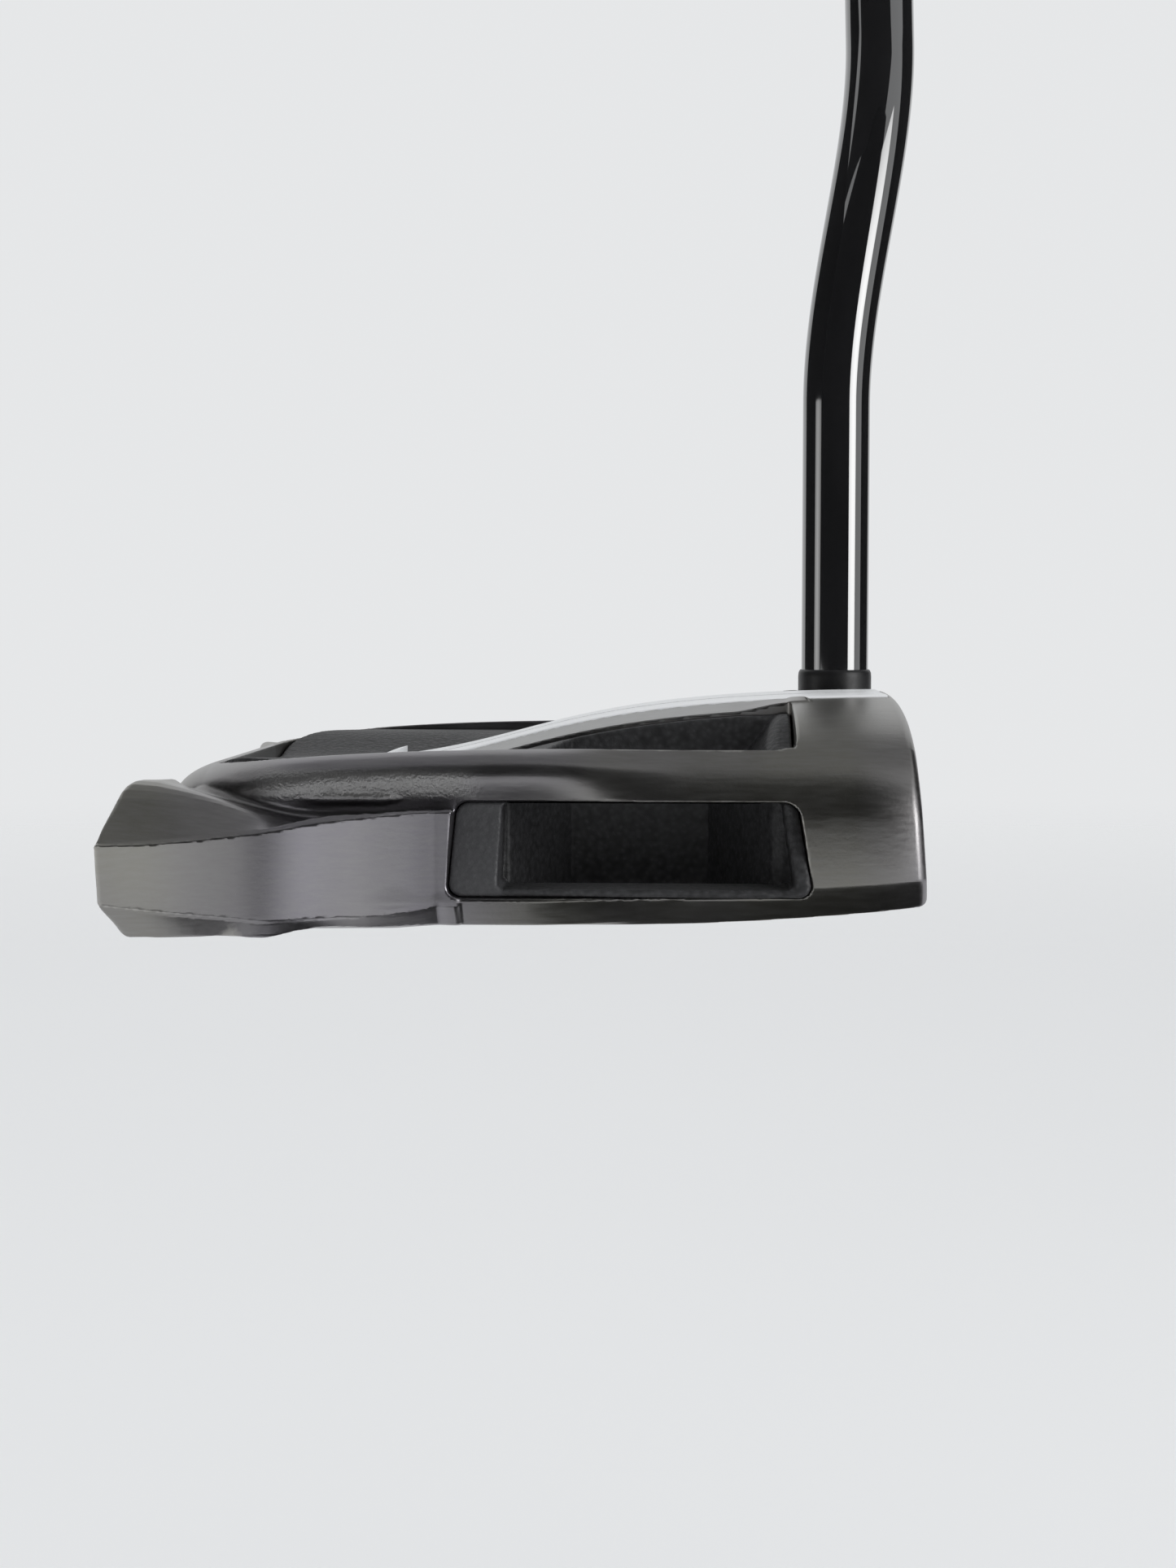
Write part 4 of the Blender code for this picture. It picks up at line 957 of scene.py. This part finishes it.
def spine_loft(name, x_ends, half, low, high, material, slot, radius=0.22, groove=0.0, stations=90):
    """A flat bar that follows the spine between two x: a rectangle with round edges carried along the curve.

    If asked, it has a shallow groove along the middle of its top.
    """
    turn = np.linspace(0, np.pi / 2, 5)
    corners = ((half, 1, 0), (-half, 1, 1), (-half, 0, 2), (half, 0, 3))
    y, up, lift = [], [], []
    for edge, top, quarter in corners:
        angle = turn + quarter * np.pi / 2
        y += list(edge - math.copysign(radius, edge) + radius * np.cos(angle))
        up += [top] * len(turn)
        lift += list((-radius if top else radius) + radius * np.sin(angle))
        if groove and quarter == 0:
            y += [groove, groove, -groove, -groove]
            up += [1] * 4
            lift += [0.0, -SIGHT_DEPTH, -SIGHT_DEPTH, 0.0]
    y, up, lift = (np.array(v)[None, :] for v in (y, up, lift))
    ease = (1 - np.cos(np.linspace(0, np.pi, stations))) / 2
    x = (x_ends[0] + (x_ends[1] - x_ends[0]) * ease)[:, None]
    bottom, top = spine_z(x) + low(x), spine_z(x) + high(x)
    z = bottom + (top - bottom) * up + lift
    rings = np.stack(np.broadcast_arrays(x, y, z), 2)[::-1]
    return carried(name, rings, material, slot)


def make_inlays():
    under = STRIPE_PROUD - STRIPE_THICK
    told = (WHITE, "stripe_white")
    spine_loft(
        "alignment_stripe",
        STRIPE_X,
        STRIPE_HALF,
        lambda x: under,
        lambda x: STRIPE_PROUD,
        *told,
        groove=SIGHT_HALF + 0.05,
    )
    spine_loft(
        "sight_line",
        (STRIPE_X[0] + SIGHT_MARGIN, STRIPE_X[1] - SIGHT_MARGIN),
        SIGHT_HALF,
        lambda x: STRIPE_PROUD - SIGHT_DEPTH - 0.1,
        lambda x: STRIPE_PROUD - SIGHT_SUNK,
        SIGHT,
        "sight_black",
        radius=0.02,
    )
    tail = (TAIL_REAR_X, STRIPE_X[0] - 0.35)
    spine_loft(
        "alignment_tail",
        tail,
        STRIPE_HALF,
        lambda x: under,
        lambda x: TAIL_PROUD * (x - tail[0]) / (tail[1] - tail[0]) + STRIPE_PROUD,
        *told,
    )


def insert_field(x, y, z):
    """A rounded plate let into the face, with level grooves milled across it."""
    up, out = face_places(x, z)
    plate = rounded_box(y, up, (-INSERT_HALF, INSERT_HALF), INSERT_UP, INSERT_RADIUS)
    plate = round_max(plate, np.maximum(out - 0.1, -INSERT_THICK - out), 0.15)
    pitch = (INSERT_UP[1] - INSERT_UP[0]) / (GROOVES + 1)
    nearest = np.clip(np.round((up - INSERT_UP[0]) / pitch), 1, GROOVES) * pitch + INSERT_UP[0]
    groove = np.maximum(np.abs(up - nearest) - GROOVE_WIDTH / 2, 0.1 - GROOVE_DEPTH - out)
    return round_max(plate, -groove, 0.1)


def make_insert():
    ends = ((39.6, 44.2), (-34.0, 34.0), (4.6, 21.6))
    carve("face_insert", insert_field, ends, INSERT_STEP, INSERT_MOST, INSERT, "insert_grey")


def plate_field(x, y, z):
    """A plate that fills the frame from below, slightly crowned, with counterbores for four screws."""
    s = np.abs(y)
    q, _ = rim_distance(x, s)
    belly = (PLATE_CROWN + lead_rise(x)) * (s / RIM_Y) ** 2
    plate = round_max(np.maximum(q, x - BLOCK_BACK_X) + 0.15, belly - z, 0.6)
    plate = np.maximum(plate, z - PLATE_THICK)
    for place in SOLE_SCREW_X:
        bore = np.hypot(x - place, s - SOLE_SCREW_Y) - SOLE_SCREW_HEAD_R - 0.2
        plate = round_max(plate, -np.maximum(bore, z - 0.55 * PLATE_THICK), 0.12)
    return plate


def make_plate():
    ends = ((-43.0, 29.5), (-38.5, 38.5), (-0.8, 3.4))
    carve("sole_plate", plate_field, ends, PLATE_STEP, PLATE_MOST, PLATE, "plate_black")


def make_weights():
    """Turned pucks and hexagon-socket screws: profiles carried round each weight's own axis."""
    low, high = WEIGHT_Z
    bore, seat, head = SCREW_R + 0.2, low + 2.8, SCREW_HEAD_R + 0.25
    puck = [(WEIGHT_R - 0.4, low), (WEIGHT_R, low + 0.4), (WEIGHT_R, high - 0.3), (WEIGHT_R - 0.3, high)]
    puck += [(bore, high), (bore, seat), (head, seat), (head, low + 0.3), (head + 0.3, low)]
    puck += [(4.3, low), (4.4, low + 0.12), (4.5, low)]
    for side_name, side in (("toe", -1), ("heel", 1)):
        centre = (WEIGHT_X, side * WEIGHT_Y)
        name = side_name + "_weight"
        carried(name, turned(puck, centre), STEEL, "weight_steel", wrap=True, body=name)
        make_socket_screw(side_name + "_weight_screw", centre, low + 0.3)


def make_socket_screw(name, centre, low):
    """A round head with a hexagon socket: the socket's radius follows the six flats round the turn."""
    turn = full_turn(ROUND_SIDES)
    flats = SOCKET_HALF / np.cos((turn % (np.pi / 3)) - np.pi / 6)
    floor, top = low + SOCKET_DEEP, low + SCREW_HEAD_HIGH
    profile = [(0.02, floor), (flats, floor), (flats, low + 0.12), (flats + 0.12, low)]
    profile += [(SCREW_HEAD_R - 0.25, low), (SCREW_HEAD_R, low + 0.25), (SCREW_HEAD_R, top), (SCREW_R, top)]
    for i, height in enumerate(np.arange(top + 0.2, THREAD_TOP, THREAD_STEP)):
        profile.append((SCREW_R - THREAD_DEEP * (i % 2), height))
    profile.append((SCREW_R - 0.4, SCREW_TIP))
    r, z = (np.array([np.broadcast_to(place[k], turn.shape) for place in profile]) for k in (0, 1))
    rings = np.stack((centre[0] + r * np.cos(turn), centre[1] + r * np.sin(turn), z), 2)
    carried(name, rings, DARK_STEEL, "weight_screw_steel", body=name)


def eased(name, material, width):
    """A copy of a solid that is already right, merged and with its edges eased."""
    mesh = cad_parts[name].data.copy()
    obj = placed(name + "_eased", mesh)
    mesh.materials.clear()
    mesh.materials.append(material)
    weld = obj.modifiers.new("weld", "WELD")
    weld.merge_threshold = 0.00001
    bevel = obj.modifiers.new("ease", "BEVEL")
    bevel.width, bevel.segments = width * MM, 2
    bevel.limit_method, bevel.angle_limit = "ANGLE", math.radians(35)
    bevel.harden_normals = True
    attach(obj, "club")
    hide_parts(name)


def shaft_path():
    """Centres of the shaft's foot and bend: upright, then over to the lie and forward by eased shares."""
    z = np.concatenate((np.linspace(COLLAR_TOP - 0.6, BEND_Z[0], 12)[:-1], np.linspace(*BEND_Z, 60)))
    share = np.clip((z - BEND_Z[0]) / (BEND_Z[1] - BEND_Z[0]), 0, 1)
    lean = np.tan((math.pi / 2 - LIE) * share * share * (3 - 2 * share))
    step = np.diff(z, prepend=z[0])
    y = HOSEL[1] + np.cumsum(step * (lean + np.roll(lean, 1)) / 2 * (share > 0))
    x = HOSEL[0] + BEND_FORWARD * smooth(*BEND_Z, z)
    return np.stack((x, y, z), 1)


AXIS = np.array((0.0, math.cos(LIE), math.sin(LIE)))
BACK = np.array((0.0, math.sin(LIE), -math.cos(LIE)))
ACROSS = np.array((1.0, 0.0, 0.0))
BEND_TOP = shaft_path()[-1]
STRAIGHT = CLUB_LENGTH - BEND_Z[1] / math.sin(LIE)
SHAFT_END = STRAIGHT - 8.0
MOUTH = STRAIGHT - GRIP_LENGTH


def shaft_radius(along):
    start = BEND_Z[0] - BEND_Z[1]
    share = np.clip((along - start) / (SHAFT_END - start), 0, 1)
    return SHAFT_TIP_R + (SHAFT_BUTT_R - SHAFT_TIP_R) * share


def make_shaft():
    """A circle carried along the path, square to it, its radius growing to the butt."""
    bend = shaft_path()
    along = np.linspace(0, SHAFT_END, 40)[1:, None]
    path = np.vstack((bend, BEND_TOP + AXIS * along))
    radius = np.concatenate((shaft_radius(bend[:, 2] - BEND_Z[1]), shaft_radius(along[:, 0])))
    ahead = np.gradient(path, axis=0)
    ahead /= np.linalg.norm(ahead, axis=1)[:, None]
    across = np.cross((0.0, 1.0, 0.0), ahead)
    across /= np.linalg.norm(across, axis=1)[:, None]
    other = np.cross(ahead, across)
    turn = full_turn(ROUND_SIDES)
    ring = np.cos(turn)[None, :, None] * across[:, None] + np.sin(turn)[None, :, None] * other[:, None]
    rings = path[:, None] + radius[:, None, None] * ring
    carried("shaft", rings, SHAFT, "shaft_black")


def make_collar():
    """A short sleeve round the shaft's foot, turned, with eased edges."""
    r, low, top = COLLAR_R, HOSEL_SEAT + 0.2, COLLAR_TOP
    profile = [(r, low), (r, top - 1.0), (r - 0.05, top - 0.45), (r - 0.2, top - 0.12), (r - 0.38, top)]
    profile += [(SHAFT_TIP_R + 0.02, top), (SHAFT_TIP_R - 0.3, top - 0.4), (SHAFT_TIP_R - 0.3, low)]
    carried("hosel_collar", turned(profile, HOSEL, ROUND_SIDES), COLLAR, "collar_black", wrap=True)


def grip_rings(along, inset):
    """Grip outline at places along it: round behind, flat in front, growing toward the butt."""
    share = np.clip((along - MOUTH) / (GRIP_LENGTH - CAP_THICK), 0, 1)
    swell = share * share * (3 - 2 * share)
    half = GRIP_MOUTH_R + (GRIP_BUTT_HALF - GRIP_MOUTH_R) * share**0.6 - inset
    back = GRIP_MOUTH_R + (GRIP_BUTT_BACK - GRIP_MOUTH_R) * swell - inset
    flat = GRIP_FLAT * half + (1 - GRIP_FLAT) * half * (1 - np.minimum(share * 4, 1))
    turn = full_turn(GRIP_SIDES)
    sine = np.sin(turn)[None, :]
    front = np.maximum(half[:, None] * sine, -flat[:, None])
    depth = np.where(sine > 0, back[:, None] * sine, front)
    wide = half[:, None] * np.cos(turn)
    middle = BEND_TOP + AXIS * along[:, None]
    return middle[:, None] + wide[..., None] * ACROSS + depth[..., None] * BACK


def axis_rings(along, radius):
    """Circles square to the grip's axis."""
    turn = full_turn(GRIP_SIDES)
    round_ring = np.cos(turn)[:, None] * ACROSS + np.sin(turn)[:, None] * BACK
    middle = BEND_TOP + AXIS * along[:, None]
    return middle[:, None] + radius[:, None, None] * round_ring[None]


def make_grip():
    butt = STRAIGHT - CAP_THICK - 0.1
    along = np.concatenate(([MOUTH, MOUTH + 0.3], np.linspace(MOUTH + 1.2, butt - 0.8, 70), [butt]))
    inset = np.concatenate(([0.7, 0.2], np.zeros(70), [0.5]))
    outer = grip_rings(along, inset)
    inner_at = np.array((butt, MOUTH + 0.4, MOUTH))
    inner = axis_rings(inner_at, shaft_radius(inner_at) + 0.2)
    piece = carried("grip", np.vstack((outer, inner)), RUBBER, "grip_rubber", wrap=True)
    lay_out_grip(piece.data)
    cap_along = STRAIGHT - np.array((CAP_THICK, 1.0, 0.4, 0.0, 0.0))
    cap = grip_rings(cap_along, np.array((0.15, 0.0, 0.35, 1.0, 3.5)))
    carried("grip_cap", cap, CAP, "cap_black")


def lay_out_grip(mesh):
    """UV map in rows of equal height: the place along the grip, and the turn by the mean girth."""
    where = read(mesh.loops, "vertex_index", 1, np.int32)[:, 0]
    along = (read(mesh.vertices, "co", 3) / MM - BEND_TOP) @ AXIS
    turn = (where % GRIP_SIDES).reshape(-1, 4)
    over = (turn == 0) & (turn.max(1)[:, None] == GRIP_SIDES - 1)
    turn = np.where(over, GRIP_SIDES, turn).reshape(-1)
    uv = np.stack((turn * GRIP_ROWS_ROUND / GRIP_SIDES, along[where] / GRIP_ROW), 1)
    layer = mesh.uv_layers.new(name="grip")
    layer.data.foreach_set("uv", uv.astype(np.float32).ravel())


def dress(name, material):
    """A finish for a solid that shows, or lies hidden, as it is."""
    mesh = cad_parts[name].data
    mesh.materials.clear()
    mesh.materials.append(material)


make_frame()
make_liners()
make_inlays()
make_insert()
make_weights()
make_plate()
eased("core_body", CORE_BLACK, 0.3)
make_shaft()
make_collar()
make_grip()
for end in ("front", "rear"):
    for side in ("toe", "heel"):
        dress(f"sole_screw_{end}_{side}", STEEL)
dress("damping_block", DAMPER)
dress("insert_bond_pad", PAD)
dress("hosel_post", STEEL)
dress("grip_tape", TAPE)


# Stage, light and camera

PALE = (0.79, 0.80, 0.81, 1)
FLOOR_Z = -0.15
FLOOR_RADIUS = 2.2
HEAD_MIDDLE = (0.0, 0.0, 0.015)
SENSOR_HEIGHT = 36.0


def make_floor():
    """A pale disc below the club that fades into the pale surround at its edge and is clear from below."""
    rim = turned([(FLOOR_RADIUS, FLOOR_Z)], (0.0, 0.0), ROUND_SIDES)[0]
    mesh = bpy.data.meshes.new("floor")
    mesh.from_pydata(rim.tolist(), [], [list(range(ROUND_SIDES))])
    floor = placed("floor", mesh)
    made, tree, shader, place = start("pale_floor", Roughness=0.9)
    mottle = grain(tree, place, 3.0, 2.0)
    base = mixed(tree, mottle, (0.92, 0.925, 0.93, 1), (0.935, 0.94, 0.945, 1))
    tree.links.new(base, shader.inputs["Base Color"])
    away = node(tree, "ShaderNodeVectorMath", {0: place}, operation="LENGTH").outputs["Value"]
    below = node(tree, "ShaderNodeNewGeometry").outputs["Backfacing"]
    fade = span(tree, away, 0.5 * FLOOR_RADIUS, 0.98 * FLOOR_RADIUS, 1.0, 0.0)
    tree.links.new(times(tree, fade, span(tree, below, 0.0, 1.0, 1.0, 0.0)), shader.inputs["Alpha"])
    mesh.materials.append(made)
    floor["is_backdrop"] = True


def aimed(location, target):
    return (Vector(target) - Vector(location)).to_track_quat("-Z", "Y")


def make_lamp(name, location, size, power, beam, target=HEAD_MIDDLE):
    """A rectangular soft lamp, its beam in degrees."""
    data = bpy.data.lights.new(name, "AREA")
    data.shape = "RECTANGLE"
    data.size, data.size_y = size
    data.energy = power
    data.spread = math.radians(beam)
    lamp = placed(name, data)
    lamp.location = location
    lamp.rotation_mode = "QUATERNION"
    lamp.rotation_quaternion = aimed(location, target)


def make_card(name, location, size, target=HEAD_MIDDLE, shade=0.02):
    """A dark card that only glossy surfaces see, to give them contrast."""
    w, h = size[0] / 2, size[1] / 2
    corners = np.array(((-w, -h, 0), (w, -h, 0), (w, h, 0), (-w, h, 0)))
    turn = np.array(aimed(location, target).to_matrix())
    mesh = bpy.data.meshes.new(name)
    mesh.from_pydata((corners @ turn.T + np.array(location)).tolist(), [], [(0, 1, 2, 3)])
    card = placed(name, mesh)
    mesh.materials.append(satin(name, (shade, shade, shade), 0.95))
    card.visible_camera = False
    card.visible_diffuse = False
    card.visible_shadow = False
    card.visible_transmission = False
    card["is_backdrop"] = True


def make_world():
    world = bpy.data.worlds.new("pale_surround")
    world.use_nodes = True
    world.node_tree.nodes["Background"].inputs["Color"].default_value = PALE
    bpy.context.scene.world = world


def make_camera():
    """The camera where the photograph was taken: back from the toe, a little above the sole, looking down."""
    r = Vector((math.cos(CAMERA_YAW), math.sin(CAMERA_YAW), 0))
    f = Vector((-math.sin(CAMERA_YAW), math.cos(CAMERA_YAW), 0))
    ahead = f * math.cos(CAMERA_PITCH) - Vector((0, 0, math.sin(CAMERA_PITCH)))
    up = r.cross(ahead)
    data = bpy.data.cameras.new("camera")
    data.sensor_fit = "VERTICAL"
    data.sensor_height = SENSOR_HEIGHT
    data.lens = FOCAL_PIXELS / PHOTO_HEIGHT * SENSOR_HEIGHT
    data.clip_start = 0.01
    camera = placed("camera", data)
    place = (r * CAMERA_SIDE - f * CAMERA_BACK + Vector((0, 0, CAMERA_UP))) * MM
    turn = Matrix((r, up, -ahead)).transposed()
    camera.matrix_world = Matrix.Translation(place) @ turn.to_4x4()
    bpy.context.scene.camera = camera


make_floor()
make_world()
make_lamp("side_softbox", (0.85, -0.55, 0.33), (0.45, 0.72), 1.15, 90.0, (0.0, 0.0, 0.25))
make_lamp("rear_low", (-0.75, -0.30, 0.02), (0.34, 0.24), 0.021, 40.0)
make_card("front_card", (-0.30, -1.10, 0.61), (2.8, 1.24), (-0.30, 0.0, 0.61))
make_card("upper_card", (-0.30, -0.75, 1.34), (2.8, 0.80), shade=0.03)
make_card("top_card", (0.0, 0.45, 1.45), (2.8, 1.7), (0.0, 0.45, 0.0), shade=0.42)
make_card("low_card", (0.15, -0.155, -0.13), (0.33, 0.35), (0.15, -0.155, 1.0))
make_card("wing_low_card", (-0.035, -0.255, -0.13), (0.05, 0.21), (-0.035, -0.255, 1.0))
make_card("rear_side_card", (-1.20, 0.05, 0.49), (1.9, 1.0), (0.0, 0.05, 0.49))
make_card("face_side_card", (1.1, 0.55, 0.35), (1.1, 1.1))
make_camera()
bpy.context.scene.view_settings.view_transform = "Standard"

boxes = {"cad": cad_box, "visual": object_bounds()}
{key: [list(map(float, corner)) for corner in box] for key, box in boxes.items()}
